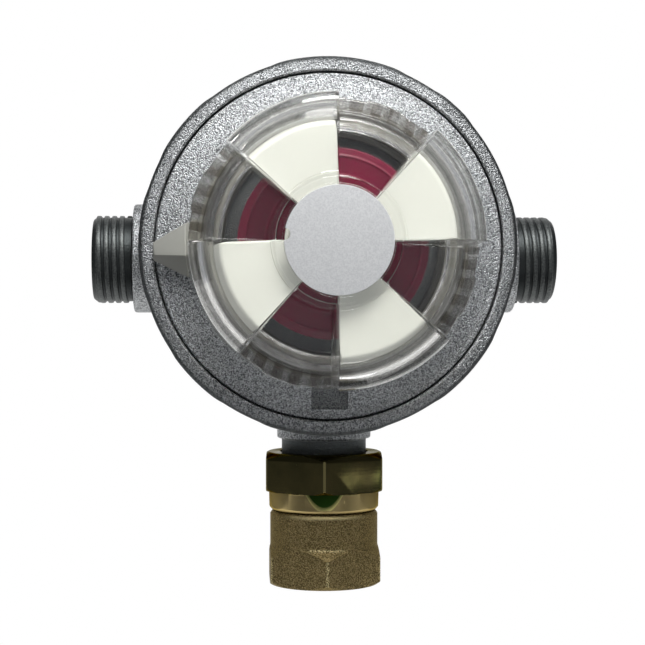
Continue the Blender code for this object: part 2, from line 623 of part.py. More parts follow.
def make_lever(side, pivot):
    """A bent sheet lever with a keyhole that grips the plunger's neck."""
    half = 0.5 * LEVER_WIDTH
    lever = prism(f"{side}_valve_lever", lever_outline(side), -half, half, pivot, "steel")
    hole = rod(f"{side}_lever_eye", PIN_RADIUS + PIN_CLEARANCE, -half - 1 * MM, half + 1 * MM,
               pivot, None, 16)
    combine(lever, hole, "DIFFERENCE")
    across = axis_empty(f"{side}_keyhole_axis", (0, INLET_DEPTH - LEVER_PIVOT_DEPTH, 0),
                        (0, math.radians(90), 0))
    across.parent = pivot
    slot = NECK_RADIUS + 2 * GAP
    entry = PLUNGER_HEAD_RADIUS + GAP
    climb = slot + entry + 1.2 * MM
    keyhole = arc(0, 0, slot, 180, 360, 6) + arc(0, climb, entry, -KEYHOLE_THROAT,
                                                      180 + KEYHOLE_THROAT, 9)
    tool = prism(f"{side}_keyhole", keyhole, -2 * MM, 2 * MM, across, None)
    combine(lever, tool, "DIFFERENCE")
    reach = half + GAP * 2 + EAR_THICKNESS
    rod(f"{side}_lever_pin", PIN_RADIUS, -reach, reach, pivot, "steel", 16)


def make_diaphragm(knob_axis):
    """Rubber diaphragm with one rolled convolution, clamped at its edge."""
    half = 0.5 * DIAPHRAGM_THICKNESS
    middle = DIAPHRAGM_REAR + half
    roll = 0.5 * ROLL_WIDTH

    def face(offset, reverse):
        line = [(HUB_RADIUS + GAP, middle + offset), (ROLL_RADIUS - roll, middle + offset)]
        for k in range(1, 4):
            share = k / 4
            line.append((ROLL_RADIUS - roll + 2 * roll * share,
                         middle + offset + ROLL_HEIGHT * math.sin(math.pi * share)))
        line += [(ROLL_RADIUS + roll, middle + offset), (POCKET_RADIUS - GAP, middle + offset)]
        return line[::-1] if reverse else line

    turned("diaphragm", face(-half, False) + face(half, True), knob_axis, "rubber", MEDIUM_SIDE_COUNT)
    edge = PLATE_RADIUS
    turned("diaphragm_plate", [
        (HUB_RADIUS + GAP, PLATE_REAR), (edge - 0.3 * MM, PLATE_REAR), (edge, PLATE_REAR + 0.3 * MM),
        (edge, PLATE_FRONT + 0.5 * MM), (edge - 1 * MM, PLATE_FRONT + 0.5 * MM),
        (edge - 1.4 * MM, PLATE_FRONT), (HUB_RADIUS + GAP, PLATE_FRONT)],
        knob_axis, "steel", MEDIUM_SIDE_COUNT)
    bore = SPINDLE_RADIUS + GAP
    seal_half = 0.75 * MM
    turned("diaphragm_hub", [
        (bore, HUB_REAR), (HUB_FLANGE_RADIUS, HUB_REAR), (HUB_FLANGE_RADIUS, HUB_FLANGE_FRONT),
        (HUB_RADIUS, HUB_FLANGE_FRONT), (HUB_RADIUS, HUB_FRONT - 0.4 * MM),
        (HUB_RADIUS - 0.4 * MM, HUB_FRONT), (bore, HUB_FRONT), (bore, SEAL_DEPTH + seal_half),
        (bore + 0.95 * MM, SEAL_DEPTH + seal_half), (bore + 0.95 * MM, SEAL_DEPTH - seal_half),
        (bore, SEAL_DEPTH - seal_half)], knob_axis, "polished_brass", SMALL_SIDE_COUNT)
    ring("hub_seal", SPINDLE_RADIUS + 0.1 * MM + 0.45 * MM, 0.45 * MM, SEAL_DEPTH, knob_axis,
         "rubber", 6, SMALL_SIDE_COUNT)
    nut = turned("diaphragm_nut", [
        (HUB_RADIUS + GAP, NUT_REAR), (0.7 * NUT_ACROSS_FLATS, NUT_REAR),
        (0.7 * NUT_ACROSS_FLATS, NUT_FRONT - 0.5 * MM), (0.5 * NUT_ACROSS_FLATS, NUT_FRONT),
        (HUB_RADIUS + GAP, NUT_FRONT)], knob_axis, "steel", SMALL_SIDE_COUNT)
    combine(nut, hexagon("nut_flats", NUT_ACROSS_FLATS, NUT_REAR - 1 * MM, NUT_FRONT + 1 * MM, 0,
                         knob_axis), "INTERSECT")
    coil("main_spring", SPRING_RADIUS, SPRING_WIRE, SPRING_TURNS, NUT_REAR, SHOULDER_FRONT,
         knob_axis, "steel")


def make_indicator(knob_axis):
    """Red ring round the turret, on two legs that stand on the diaphragm plate."""
    top = KNOB_BASE + VALLEY_HEIGHT - KNOB_WALL - STROKE - 2 * GAP
    low = top - INDICATOR_HEIGHT
    step = INDICATOR_OUTER - 5.2 * MM
    shape = turned("indicator_ring", [
        (INDICATOR_INNER, low), (INDICATOR_OUTER, low), (INDICATOR_OUTER, top - 1.5 * MM),
        (INDICATOR_OUTER - 0.5 * MM, top - 1.0 * MM), (INDICATOR_OUTER - 1.4 * MM, top - 0.7 * MM),
        (step + 0.5 * MM, top - 0.6 * MM), (step, top - 0.3 * MM), (step - 0.6 * MM, top),
        (INDICATOR_INNER + 0.4 * MM, top), (INDICATOR_INNER, top - 0.4 * MM)],
        knob_axis, "red_plastic", MEDIUM_SIDE_COUNT)
    for k in range(2):
        leg = rod(f"indicator_leg_{k + 1}", INDICATOR_LEG_RADIUS, NUT_REAR, low + 1 * MM,
                  knob_axis, None, 8)
        leg.location = ((1 - 2 * k) * INDICATOR_LEG_PLACE, 0, 0)
        combine(shape, leg, "UNION")


def make_spindle(knob_axis):
    """Spindle that the knob turns, its circlip and the stepped cam at its end."""
    square_start = CAM_REAR + 0.4 * MM
    top = SPINDLE_TOP
    groove = CIRCLIP_REAR - 0.1 * MM
    groove_end = CIRCLIP_REAR + CIRCLIP_THICKNESS + 0.1 * MM
    tap = SCREW_RADIUS + GAP
    screw_end = KNOB_BASE + LABEL_FLOOR - HEAD_RECESS - GAP - SCREW_LENGTH
    spindle = turned("selector_spindle", [
        (0, square_start), (SPINDLE_RADIUS, square_start),
        (SPINDLE_RADIUS, SHOULDER_FRONT - 1.4 * MM), (SHOULDER_RADIUS, SHOULDER_FRONT - 1.4 * MM),
        (SHOULDER_RADIUS, SHOULDER_FRONT), (SPINDLE_RADIUS, SHOULDER_FRONT),
        (SPINDLE_RADIUS, groove), (SPINDLE_RADIUS - 0.5 * MM, groove + 0.05 * MM),
        (SPINDLE_RADIUS - 0.5 * MM, groove_end), (SPINDLE_RADIUS, groove_end + 0.05 * MM),
        (SPINDLE_RADIUS, top), (tap, top), (tap, screw_end - 2 * GAP),
        (0, screw_end - 3 * GAP)], knob_axis, "polished_brass", TINY_SIDE_COUNT)
    for k in range(4):
        flat = box(f"spindle_flat_{k + 1}", (0.5 * SQUARE_WIDTH, 4 * MM), (-4 * MM, 4 * MM),
                   (square_start - 1 * MM, SQUARE_END), knob_axis)
        flat.rotation_euler = (0, 0, math.radians(90 * k))
        combine(spindle, flat, "DIFFERENCE")
    opening = 40
    inner = SPINDLE_RADIUS - 0.2 * MM
    clip = (arc(0, 0, CIRCLIP_RADIUS, opening, 360 - opening, 20)
            + arc(0, 0, inner, 360 - opening, opening, 16))
    prism("spindle_circlip", clip, CIRCLIP_REAR, CIRCLIP_REAR + CIRCLIP_THICKNESS, knob_axis, "steel")
    make_cam(knob_axis)


def make_cam(knob_axis):
    """Disc whose thicker half presses the lever of the service side first."""
    bore = 0.5 * SQUARE_WIDTH + GAP
    cam = turned("thrust_cam", [
        (0, CAM_REAR), (CAM_RADIUS - 0.3 * MM, CAM_REAR), (CAM_RADIUS, CAM_REAR + 0.3 * MM),
        (CAM_RADIUS, CAM_DISC_FRONT), (4.5 * MM, CAM_DISC_FRONT), (4.5 * MM, CAM_FRONT),
        (0, CAM_FRONT)], knob_axis, "polished_brass", SMALL_SIDE_COUNT)
    hole = box("cam_square", (-bore, bore), (-bore, bore), (CAM_REAR - 1 * MM, CAM_FRONT + 1 * MM),
               knob_axis)
    combine(cam, hole, "DIFFERENCE")
    beyond = CAM_RADIUS + 3 * MM
    relief = box("cam_relief", (-0.5 * MM, beyond), (-beyond, beyond),
                 (CAM_REAR - 1 * MM, CAM_REAR + CAM_STEP), knob_axis)
    combine(cam, relief, "DIFFERENCE")


def knob_section(outer_lobe, inner_lobe):
    """Section of the clear knob, each surface either in a lobe or in a window valley."""
    wall = KNOB_WALL
    edge = KNOB_RADIUS
    lobe, valley, skirt = LOBE_HEIGHT, VALLEY_HEIGHT, SKIRT_HEIGHT
    hub = HUB_TOP_RADIUS
    recess = LABEL_FLOOR - GAP
    head_floor = recess - HEAD_RECESS
    ceiling = lobe - wall
    floor = valley - wall
    outside = [
        (SCREW_RADIUS + GAP, head_floor), (SCREW_HEAD_RADIUS + GAP, head_floor),
        (SCREW_HEAD_RADIUS + GAP, recess), (LABEL_RADIUS + GAP, recess),
        (LABEL_RADIUS + GAP, KNOB_HEIGHT), (hub, KNOB_HEIGHT)]
    if outer_lobe:
        outside += [
            (hub + 2.2 * MM, lobe), (edge - 6.2 * MM, lobe - 0.2 * MM),
            (edge - 3.6 * MM, lobe - 1.2 * MM), (edge - 1.8 * MM, lobe - 3.0 * MM),
            (edge - 0.8 * MM, lobe - 5.6 * MM), (edge - 0.2 * MM, skirt + 0.6 * MM)]
    else:
        outside += [
            (hub + 1.1 * MM, valley + 1.2 * MM), (hub + 2.0 * MM, valley),
            (edge - 7.2 * MM, valley - 0.7 * MM), (edge - 5.7 * MM, valley - 2.2 * MM),
            (edge - 4.7 * MM, skirt), (edge - 0.7 * MM, skirt)]
    outside += [(edge, skirt - 0.7 * MM), (edge, 0)]
    inside = [(edge - wall, 0), (edge - wall - 0.2 * MM, skirt - wall)]
    if inner_lobe:
        inside += [
            (edge - wall - 0.7 * MM, ceiling - 3.6 * MM), (edge - wall - 2.2 * MM, ceiling - 1.4 * MM),
            (edge - wall - 4.1 * MM, ceiling), (hub, ceiling)]
    else:
        inside += [
            (edge - wall - 3.2 * MM, skirt - wall + 0.3 * MM), (edge - wall - 5.0 * MM, floor - 0.9 * MM),
            (edge - wall - 7.0 * MM, floor), (hub - 0.6 * MM, floor)]
    boss = SPINDLE_RADIUS + GAP
    boss_bottom = BOSS_BOTTOM - KNOB_BASE
    socket_top = SPINDLE_TOP - KNOB_BASE + GAP
    inside += [
        (hub - 1.5 * MM, ceiling), (boss + BOSS_WALL, ceiling), (boss + BOSS_WALL, boss_bottom),
        (boss, boss_bottom), (boss, socket_top), (SCREW_RADIUS + GAP, socket_top)]
    return [(r, h + KNOB_BASE) for r, h in outside + inside]


def knob_stations():
    """Angles and sections round the knob, with a steep wall at each side of a lobe."""
    step = STATION_STEP
    stations = []
    pitch = 360 / LOBE_COUNT
    fill = (LOBE_ANGLE - 2 * SIDE_WALL_ANGLE) / 4
    rest = (pitch - LOBE_ANGLE) / 4
    for k in range(LOBE_COUNT):
        base = k * pitch
        inner = base + SIDE_WALL_ANGLE
        last = base + LOBE_ANGLE
        stations += [(base - step, False, False), (base + step, True, False),
                     (inner - step, True, False), (inner + step, True, True)]
        stations += [(inner + fill * m, True, True) for m in range(1, 4)]
        stations += [(last - SIDE_WALL_ANGLE - step, True, True),
                     (last - SIDE_WALL_ANGLE + step, True, False),
                     (last - step, True, False), (last + step, False, False)]
        stations += [(last + rest * m, False, False) for m in range(1, 4)]
    return stations


def make_knob(knob_axis):
    knob = sector_loft("knob_cover", [(a, knob_section(o, i)) for a, o, i in knob_stations()],
                       knob_axis, "clear_plastic")
    for k in range(FLUTE_COUNT):
        start = FLUTE_START + 360 / FLUTE_COUNT * k
        low = KNOB_RADIUS - FLUTE_DEPTH
        high = KNOB_RADIUS + 2 * MM
        outline = (arc(0, 0, low, start, start + FLUTE_ANGLE, 2)
                   + arc(0, 0, high, start + FLUTE_ANGLE, start, 1))
        flute = prism(f"grip_flute_{k + 1}", outline, KNOB_BASE + 1.2 * MM,
                      KNOB_BASE + LOBE_HEIGHT, knob_axis, None)
        combine(knob, flute, "DIFFERENCE")


def make_insert(knob_axis):
    """White star that fills the lobes and leaves the windows free."""
    ceiling = LOBE_HEIGHT - KNOB_WALL - GAP
    plate = 1.5 * MM
    edge = KNOB_RADIUS - KNOB_WALL
    inner = SPINDLE_RADIUS + BOSS_WALL + 2 * GAP
    hub = HUB_TOP_RADIUS - 1.5 * MM - GAP
    skirt = VALLEY_HEIGHT + 1 * MM
    rim = ceiling - plate - 0.9 * MM
    lobe = [
        (inner, rim), (inner, ceiling), (hub, ceiling), (edge - 5.4 * MM, ceiling),
        (edge - 3.2 * MM, ceiling - 2.2 * MM), (edge - 2.2 * MM, skirt), (edge - 3.4 * MM, skirt),
        (edge - 5.0 * MM, ceiling - plate - 0.4 * MM), (hub - 0.2 * MM, ceiling - plate),
        (hub - 0.6 * MM, rim)]
    wall = [(hub, ceiling - (0.4 + 0.3 * k) * MM) for k in range(6)]
    valley = [(inner, rim), (inner, ceiling), (hub - 0.4 * MM, ceiling)] + wall
    valley.append((hub - 0.6 * MM, rim))
    side = SIDE_WALL_ANGLE + 1.9
    pitch = 360 / LOBE_COUNT
    fill = (LOBE_ANGLE - 2 * side) / 4
    rest = (pitch - LOBE_ANGLE) / 3
    stations = []
    for k in range(LOBE_COUNT):
        low = k * pitch + side
        high = k * pitch + LOBE_ANGLE - side
        stations += [(low - STATION_STEP, valley), (low + STATION_STEP, lobe)]
        stations += [(low + fill * m, lobe) for m in range(1, 4)]
        stations += [(high - STATION_STEP, lobe), (high + STATION_STEP, valley)]
        stations += [(high + side + rest * m, valley) for m in range(1, 3)]
    stations = [(a, [(r, h + KNOB_BASE) for r, h in s]) for a, s in stations]
    sector_loft("white_insert", stations, knob_axis, "white_plastic")


def make_label(knob_axis):
    """Round plate in the knob's middle, with a small notch in its edge, and the screw below."""
    low = KNOB_BASE + LABEL_FLOOR
    plate = rod("label_plate", LABEL_RADIUS, low, low + LABEL_THICKNESS, knob_axis, "label_silver",
                MEDIUM_SIDE_COUNT)
    notch = rod("label_notch", 1.3 * MM, low - 1 * MM, low + 2 * MM, knob_axis, None, 12)
    notch.location = polar(LABEL_RADIUS - 0.2 * MM, 173.7, 0)
    combine(plate, notch, "DIFFERENCE")
    floor = low - GAP - HEAD_RECESS
    screw = turned("knob_screw", [
        (0, floor + GAP - SCREW_LENGTH), (SCREW_RADIUS, floor + GAP - SCREW_LENGTH),
        (SCREW_RADIUS, floor + GAP), (SCREW_HEAD_RADIUS, floor + GAP),
        (SCREW_HEAD_RADIUS, floor + 1.3 * MM), (0.6 * SCREW_HEAD_RADIUS, floor + 1.8 * MM),
        (0, floor + 1.9 * MM)], knob_axis, "steel", 18)
    combine(screw, hexagon("screw_socket", 2.5 * MM, floor + 0.7 * MM, floor + 3 * MM, 0, knob_axis),
            "DIFFERENCE")


def make_pointer(knob_axis):
    """Ring clipped into the knob's skirt, with the arrow that shows the service side."""
    low = CROWN + GAP
    top = low + POINTER_THICKNESS
    outer = KNOB_RADIUS - KNOB_WALL - GAP
    disc = turned("pointer_ring", [
        (POINTER_INNER, low), (outer, low), (outer, top + 1.8 * MM), (outer - 1.3 * MM, top + 1.8 * MM),
        (outer - 1.5 * MM, top), (POINTER_INNER, top)], knob_axis, "grey_plastic", MEDIUM_SIDE_COUNT)
    base = KNOB_RADIUS + GAP
    half, tip = 0.5 * POINTER_BASE_WIDTH, 0.5 * POINTER_TIP_WIDTH
    ridge = 0.12 * POINTER_BASE_WIDTH
    sill = low - 1.6 * MM
    tongue = [(outer - 1 * MM, -half, low), (outer - 1 * MM, half, low),
              (outer - 1 * MM, half, top - 0.1 * MM), (outer - 1 * MM, -half, top - 0.1 * MM),
              (base, -half, low), (base, half, low),
              (base, half, top - 0.1 * MM), (base, -half, top - 0.1 * MM)]
    bar = mesh_object("pointer_tongue", tongue,
                      [[0, 1, 2, 3], [4, 5, 6, 7], [0, 1, 5, 4], [1, 2, 6, 5], [2, 3, 7, 6],
                       [3, 0, 4, 7]], knob_axis, None, None)
    arrow_points = [
        (base, -half, low), (base, half, low), (base, half, low + 1.2 * MM),
        (base, ridge, top + POINTER_RISE), (base, -half, low + 1.2 * MM),
        (POINTER_REACH, -tip, sill), (POINTER_REACH, tip, sill), (POINTER_REACH, tip, sill + 1.0 * MM),
        (POINTER_REACH - 0.4 * MM, 0.5 * tip, top - 0.4 * MM), (POINTER_REACH, -tip, sill + 1.0 * MM)]
    arrow = mesh_object("pointer_arrow", arrow_points,
                        [[0, 1, 2, 3, 4], [5, 6, 7, 8, 9], [0, 1, 6, 5], [1, 2, 7, 6], [2, 3, 8, 7],
                         [3, 4, 9, 8], [4, 0, 5, 9]], knob_axis, None, None)
    for tool in (bar, arrow):
        tool.rotation_euler = (0, 0, math.radians(POINTER_ANGLE))
        combine(disc, tool, "UNION")


def make_union(outlet_axis):
    """Union nut, its retaining ring, the flat gasket and the forged coupling."""
    top = UNION_TOP
    hex_end = top + UNION_HEX_LENGTH
    end = hex_end + UNION_COLLAR_LENGTH
    corner = UNION_FLATS / math.sqrt(3)
    collar = 0.5 * UNION_FLATS - 0.05 * MM
    hole = OUTLET_NECK_RADIUS + 0.45 * MM
    nut = turned("union_nut", [
        (hole, top), (0.5 * UNION_FLATS - 0.4 * MM, top), (corner + 0.2 * MM, top + 1.4 * MM),
        (corner + 0.2 * MM, hex_end), (collar + 0.8 * MM, hex_end + 1.6 * MM),
        (collar, hex_end + 3.9 * MM), (collar, end - 0.4 * MM), (collar - 0.4 * MM, end),
        (UNION_THREAD_RADIUS, end), (UNION_THREAD_RADIUS, top + UNION_ROOF),
        (hole, top + UNION_ROOF)], outlet_axis, "polished_brass", MEDIUM_SIDE_COUNT)
    combine(nut, hexagon("union_flats", UNION_FLATS, top - 1 * MM, end + 1 * MM,
                         90 + UNION_TURN, outlet_axis), "INTERSECT")
    clip_height = top + UNION_ROOF + GAP + 0.5 * GAP + CLIP_WIRE
    ring("nut_retaining_ring", OUTLET_NECK_RADIUS + 0.1 * MM + 0.5 * CLIP_WIRE, CLIP_WIRE, clip_height,
         outlet_axis, "steel", 6, SMALL_SIDE_COUNT)
    gasket = OUTLET_NECK_END + GAP
    turned("outlet_gasket", [
        (OUTLET_BORE, gasket), (UNION_THREAD_RADIUS - 0.6 * MM, gasket),
        (UNION_THREAD_RADIUS - 0.6 * MM, gasket + GASKET_THICKNESS),
        (OUTLET_BORE, gasket + GASKET_THICKNESS)], outlet_axis, "gasket", SMALL_SIDE_COUNT)
    male = gasket + GASKET_THICKNESS + GAP
    shoulder = end + 0.4 * MM
    radius = 0.5 * COUPLING_FLATS - 0.04 * MM
    corner = COUPLING_FLATS / math.sqrt(3)
    hex_start = COUPLING_END - COUPLING_HEX_LENGTH
    socket_top = COUPLING_END - SOCKET_DEPTH
    coupling = turned("outlet_coupling", [
        (OUTLET_BORE, male), (UNION_THREAD_RADIUS - GAP - 0.6 * MM, male),
        (UNION_THREAD_RADIUS - GAP, male + 0.6 * MM), (UNION_THREAD_RADIUS - GAP, shoulder),
        (radius - 0.6 * MM, shoulder), (radius, shoulder + 0.6 * MM), (radius, hex_start),
        (corner, hex_start + 1.9 * MM), (corner, COUPLING_END - 1.1 * MM),
        (radius, COUPLING_END), (SOCKET_RADIUS + 1.2 * MM, COUPLING_END),
        (SOCKET_RADIUS, COUPLING_END - 1.2 * MM), (SOCKET_RADIUS, socket_top),
        (OUTLET_BORE, socket_top)], outlet_axis, "forged_brass", MEDIUM_SIDE_COUNT)
    combine(coupling, hexagon("coupling_flats", COUPLING_FLATS, male - 1 * MM,
                              COUPLING_END + 1 * MM, 90, outlet_axis), "INTERSECT")


SIDES = {"left": -1, "right": 1}


def build():
    for old in list(bpy.data.objects):
        bpy.data.objects.remove(old, do_unlink=True)
    facing = math.radians(90)
    knob_axis = axis_empty("knob_axis", (0, 0, 0), (facing, 0, 0))
    inlets, pivots = {}, {}
    for side, sign in SIDES.items():
        inlets[side] = axis_empty(f"{side}_inlet_axis", (0, -INLET_DEPTH, -INLET_DROP),
                                  (0, sign * facing, 0))
        pivots[side] = axis_empty(f"{side}_lever_pivot",
                                  (sign * LEVER_PIVOT_X, -LEVER_PIVOT_DEPTH, -INLET_DROP),
                                  (2 * facing, 0, 0))
    outlet_axis = axis_empty("outlet_axis", (0, -INLET_DEPTH, 0), (2 * facing, 0, 0))
    make_body(knob_axis, inlets, pivots, outlet_axis)
    make_bonnet(knob_axis)
    for side in SIDES:
        make_inlet(side, inlets[side])
        make_plunger(side, inlets[side])
        make_lever(side, pivots[side])
        spring_axis = bpy.data.objects[f"{side}_spring_axis"]
        coil(f"{side}_lever_spring", LEVER_SPRING_RADIUS, LEVER_SPRING_WIRE, LEVER_SPRING_TURNS,
             FLOOR_THICKNESS + GAP, LEVER_FRONT - LEVER_SHEET - GAP, spring_axis, "steel")
    make_diaphragm(knob_axis)
    make_indicator(knob_axis)
    make_spindle(knob_axis)
    make_knob(knob_axis)
    make_insert(knob_axis)
    make_label(knob_axis)
    make_pointer(knob_axis)
    make_union(outlet_axis)


build()
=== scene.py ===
"""Looks of an automatic changeover regulator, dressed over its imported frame.

The knob faces -Y, +Z is up, and depth is measured from the pad on the back.
"""
import math

import bpy
import mathutils
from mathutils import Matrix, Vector
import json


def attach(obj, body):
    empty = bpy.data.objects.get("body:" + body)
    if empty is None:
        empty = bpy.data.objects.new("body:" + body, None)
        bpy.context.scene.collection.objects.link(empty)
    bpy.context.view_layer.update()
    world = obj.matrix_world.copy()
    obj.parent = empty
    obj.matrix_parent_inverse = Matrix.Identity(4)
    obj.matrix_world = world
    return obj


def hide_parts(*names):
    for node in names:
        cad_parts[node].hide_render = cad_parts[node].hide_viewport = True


MM = 0.001
FRONT = (math.radians(90), 0, 0)
DOWN = (math.radians(180), 0, 0)

# Sizes of the visible pieces, as the solids have them
RIM_RADIUS = 43.7
RIM_FRONT = 41.2
SEAM_RADIUS = 40.1
CROWN = 43.9
KNOB_BASE = 46.2
KNOB_RADIUS = 32.5
KNOB_HEIGHT = 27.0
KNOB_WALL = 2.1
SKIRT_HEIGHT = 10.0
LEDGE_UNDER = 7.9
LOBE_HEIGHT = 25.5
VALLEY_HEIGHT = 14.0
LOBE_START = -0.9
LOBE_ANGLE = 50.2
LOBE_PITCH = 90
WALL_ANGLE = 0.7
STAR_ANGLE = 1.2
BUTTRESS_ANGLE = 4.4
HUB_RADIUS = 13.4
LABEL_RADIUS = 11.65
RED_RADIUS = 21.4
PAD_RADIUS = 20
INLET_DEPTH = 20.0
INLET_DROP = 2.5
BOSS_RISE = 0.25
THREAD_PITCH = 1.814
THREAD_CREST = 10.48
THREAD_ROOT = 10.05
NIPPLE_BORE = 6.5
NIPPLE_END = 55.2
NECK_RADIUS = 10.2
NECK_END = 55
COLLAR_RADIUS = 13.2
NUT_FLATS = 27.7
COUPLING_FLATS = 26.1
COUPLING_END = 80.6
SEAM_WIDTH = 0.32
LEG_PLACE = 13.5
MARK_HALF = 4.15
MARK_LOW = -37.4
TURN = 2 * math.pi


class Value:
    """A number or colour that varies over a surface, with arithmetic."""

    def __init__(self, finish, socket):
        self.finish = finish
        self.socket = socket

    def __add__(self, other):
        return self.finish.math("ADD", self, other)

    def __mul__(self, other):
        return self.finish.math("MULTIPLY", self, other)

    def __pow__(self, other):
        return self.finish.math("POWER", self, other)

    def peak(self, other):
        return self.finish.math("MAXIMUM", self, other)

    def size(self):
        return self.finish.math("ABSOLUTE", self)


class Finish:
    """One material of the regulator. Every node comes from one method."""

    def __init__(self, name, colour, roughness, metallic=0.0):
        self.made = bpy.data.materials.new(name)
        self.made.use_nodes = True
        self.tree = self.made.node_tree
        self.shader = self.tree.nodes["Principled BSDF"]
        self.put("Base Color", (*colour, 1.0))
        self.put("Roughness", roughness)
        self.put("Metallic", metallic)

    def node(self, kind, inputs=(), output=0, **settings):
        made = self.tree.nodes.new("ShaderNode" + kind)
        for name, value in settings.items():
            setattr(made, name, value)
        pairs = inputs.items() if isinstance(inputs, dict) else enumerate(inputs)
        for place, value in pairs:
            if isinstance(value, Value):
                self.tree.links.new(value.socket, made.inputs[place])
            else:
                made.inputs[place].default_value = value
        return Value(self, made.outputs[output])

    def put(self, name, value):
        if isinstance(value, Value):
            self.tree.links.new(value.socket, self.shader.inputs[name])
        else:
            self.shader.inputs[name].default_value = value

    def place(self):
        return self.node("TexCoord", output="Object")

    def grain(self, scale, detail=2.0, roughness=0.5):
        return self.node("TexNoise", {"Vector": self.place(), "Scale": scale, "Detail": detail,
                                      "Roughness": roughness}, output=0)

    def along(self, axis):
        return self.node("SeparateXYZ", [self.place()], output=axis)

    def math(self, operation, *inputs):
        return self.node("Math", inputs, operation=operation)

    def from_knob_axis(self):
        return (self.along(0) ** 2 + self.along(2) ** 2) ** 0.5

    def from_outlet_axis(self):
        return (self.along(0) ** 2 + (self.along(1) + INLET_DEPTH * MM) ** 2) ** 0.5

    def band(self, value, low, high):
        """Rises from 0 at the first value to 1 at the second."""
        return self.node("MapRange", {"Value": value, "From Min": low, "From Max": high})

    def zone(self, length, low, high):
        """A band over a length, with its ends in millimetres."""
        return self.band(length, low * MM, high * MM)

    def mix(self, share, first, second):
        first, second = [c if isinstance(c, Value) else (*c, 1.0) for c in (first, second)]
        return self.node("Mix", {0: share, 6: first, 7: second}, output=2, data_type="RGBA")

    def bump(self, height, distance, strength=1.0):
        self.put("Normal", self.node("Bump", {"Height": height, "Distance": distance,
                                              "Strength": strength}))

    def blended(self, share, other):
        """Shows another shader instead of the main one, by a share."""
        mixer = self.node("MixShader", [share]).socket.node
        self.tree.links.new(self.shader.outputs[0], mixer.inputs[1])
        self.tree.links.new(other.socket, mixer.inputs[2])
        self.tree.links.new(mixer.outputs[0], self.tree.nodes["Material Output"].inputs[0])


def cast_metal(name, dark, light, fleck_share, roughness):
    """Sparkling die cast skin: fine dark and bright flecks on a rolling tone, with painted shade under
    the knob, on the rim, in the mark's pocket and on the neck.
    """
    skin = Finish(name, dark, roughness, 0.85)
    fine = skin.grain(3300, 1.0, 0.6)
    coarse = skin.grain(1500, 2.0, 0.6)
    fleck = skin.band(fine * 0.7 + coarse * 0.3, 0.5 - fleck_share, 0.5 + fleck_share)
    cloud = skin.band(skin.grain(60, 3.0), 0.3, 0.75)
    tone = skin.mix(fleck, dark, light)
    toned = skin.mix(cloud * 0.25, tone, tuple(0.5 * (a + b) for a, b in zip(dark, light)))
    radius, across, depth, height = (skin.from_knob_axis(), skin.along(0), skin.along(1),
                                     skin.along(2))
    # Painted shade: the colour is darker on the bonnet under the knob, on the rim's face (stronger
    # outwards), on the rim's outer front edge and in the mark's pocket.
    inside_side = skin.zone(radius, RIM_RADIUS - 0.04, RIM_RADIUS - 0.12)
    lip = skin.zone(radius, 40.0, 43.6) * skin.zone(depth, -33.0, -33.6) * inside_side
    edge = skin.zone(radius, 42.3, 43.0) * skin.zone(depth, -39.0, -39.6) * inside_side
    pocket = (skin.zone(across.size(), MARK_HALF + 0.15, MARK_HALF)
              * skin.zone(height, MARK_LOW - 0.2, MARK_LOW) * skin.zone(height, -30.0, -31.0))
    covered = skin.zone(radius, 27.5, 26.0) * skin.zone(depth, -38.0, -38.5)
    shaded = covered.peak(lip * 0.5).peak(edge).peak(pocket * 0.45)
    # Painted shade: the neck between the boss and the union nut is darker.
    neck = skin.zone(height, -45.5, -45.9)
    dim = skin.mix(shaded * 0.9, toned, (0.06, 0.065, 0.065))
    skin.put("Specular Tint", (0.45, 0.45, 0.45, 1.0))
    skin.put("Base Color", skin.mix(neck, dim, (0.19, 0.205, 0.205)))
    skin.put("Roughness", skin.band(coarse, 0.2, 0.9) * 0.2 + (roughness - 0.1))
    skin.bump(fine * 0.8 + coarse * 0.4, 0.00033, 1.0)
    return skin.made


def thread_steel():
    """Dark phosphated steel with grainy crests, and grooves painted nearly black as shade."""
    steel = Finish("dark_thread_steel", (0.13, 0.14, 0.14), 0.42, 0.7)
    height = steel.along(2) + INLET_DROP * MM
    front = steel.along(1) + INLET_DEPTH * MM
    radius = (height ** 2 + front ** 2) ** 0.5
    # Painted shade: the colour darkens from the crests down into the thread's grooves.
    crest = steel.zone(radius, THREAD_ROOT + 0.05, 10.4)
    scuff = steel.grain(2300, 3.0, 0.65)
    tone = steel.mix(steel.band(scuff, 0.3, 0.7), (0.055, 0.062, 0.062), (0.17, 0.18, 0.175))
    steel.put("Base Color", steel.mix(crest, (0.035, 0.04, 0.04), tone))
    steel.put("Roughness", scuff * 0.3 + 0.28)
    steel.bump(scuff, 0.00012, 0.7)
    return steel.made


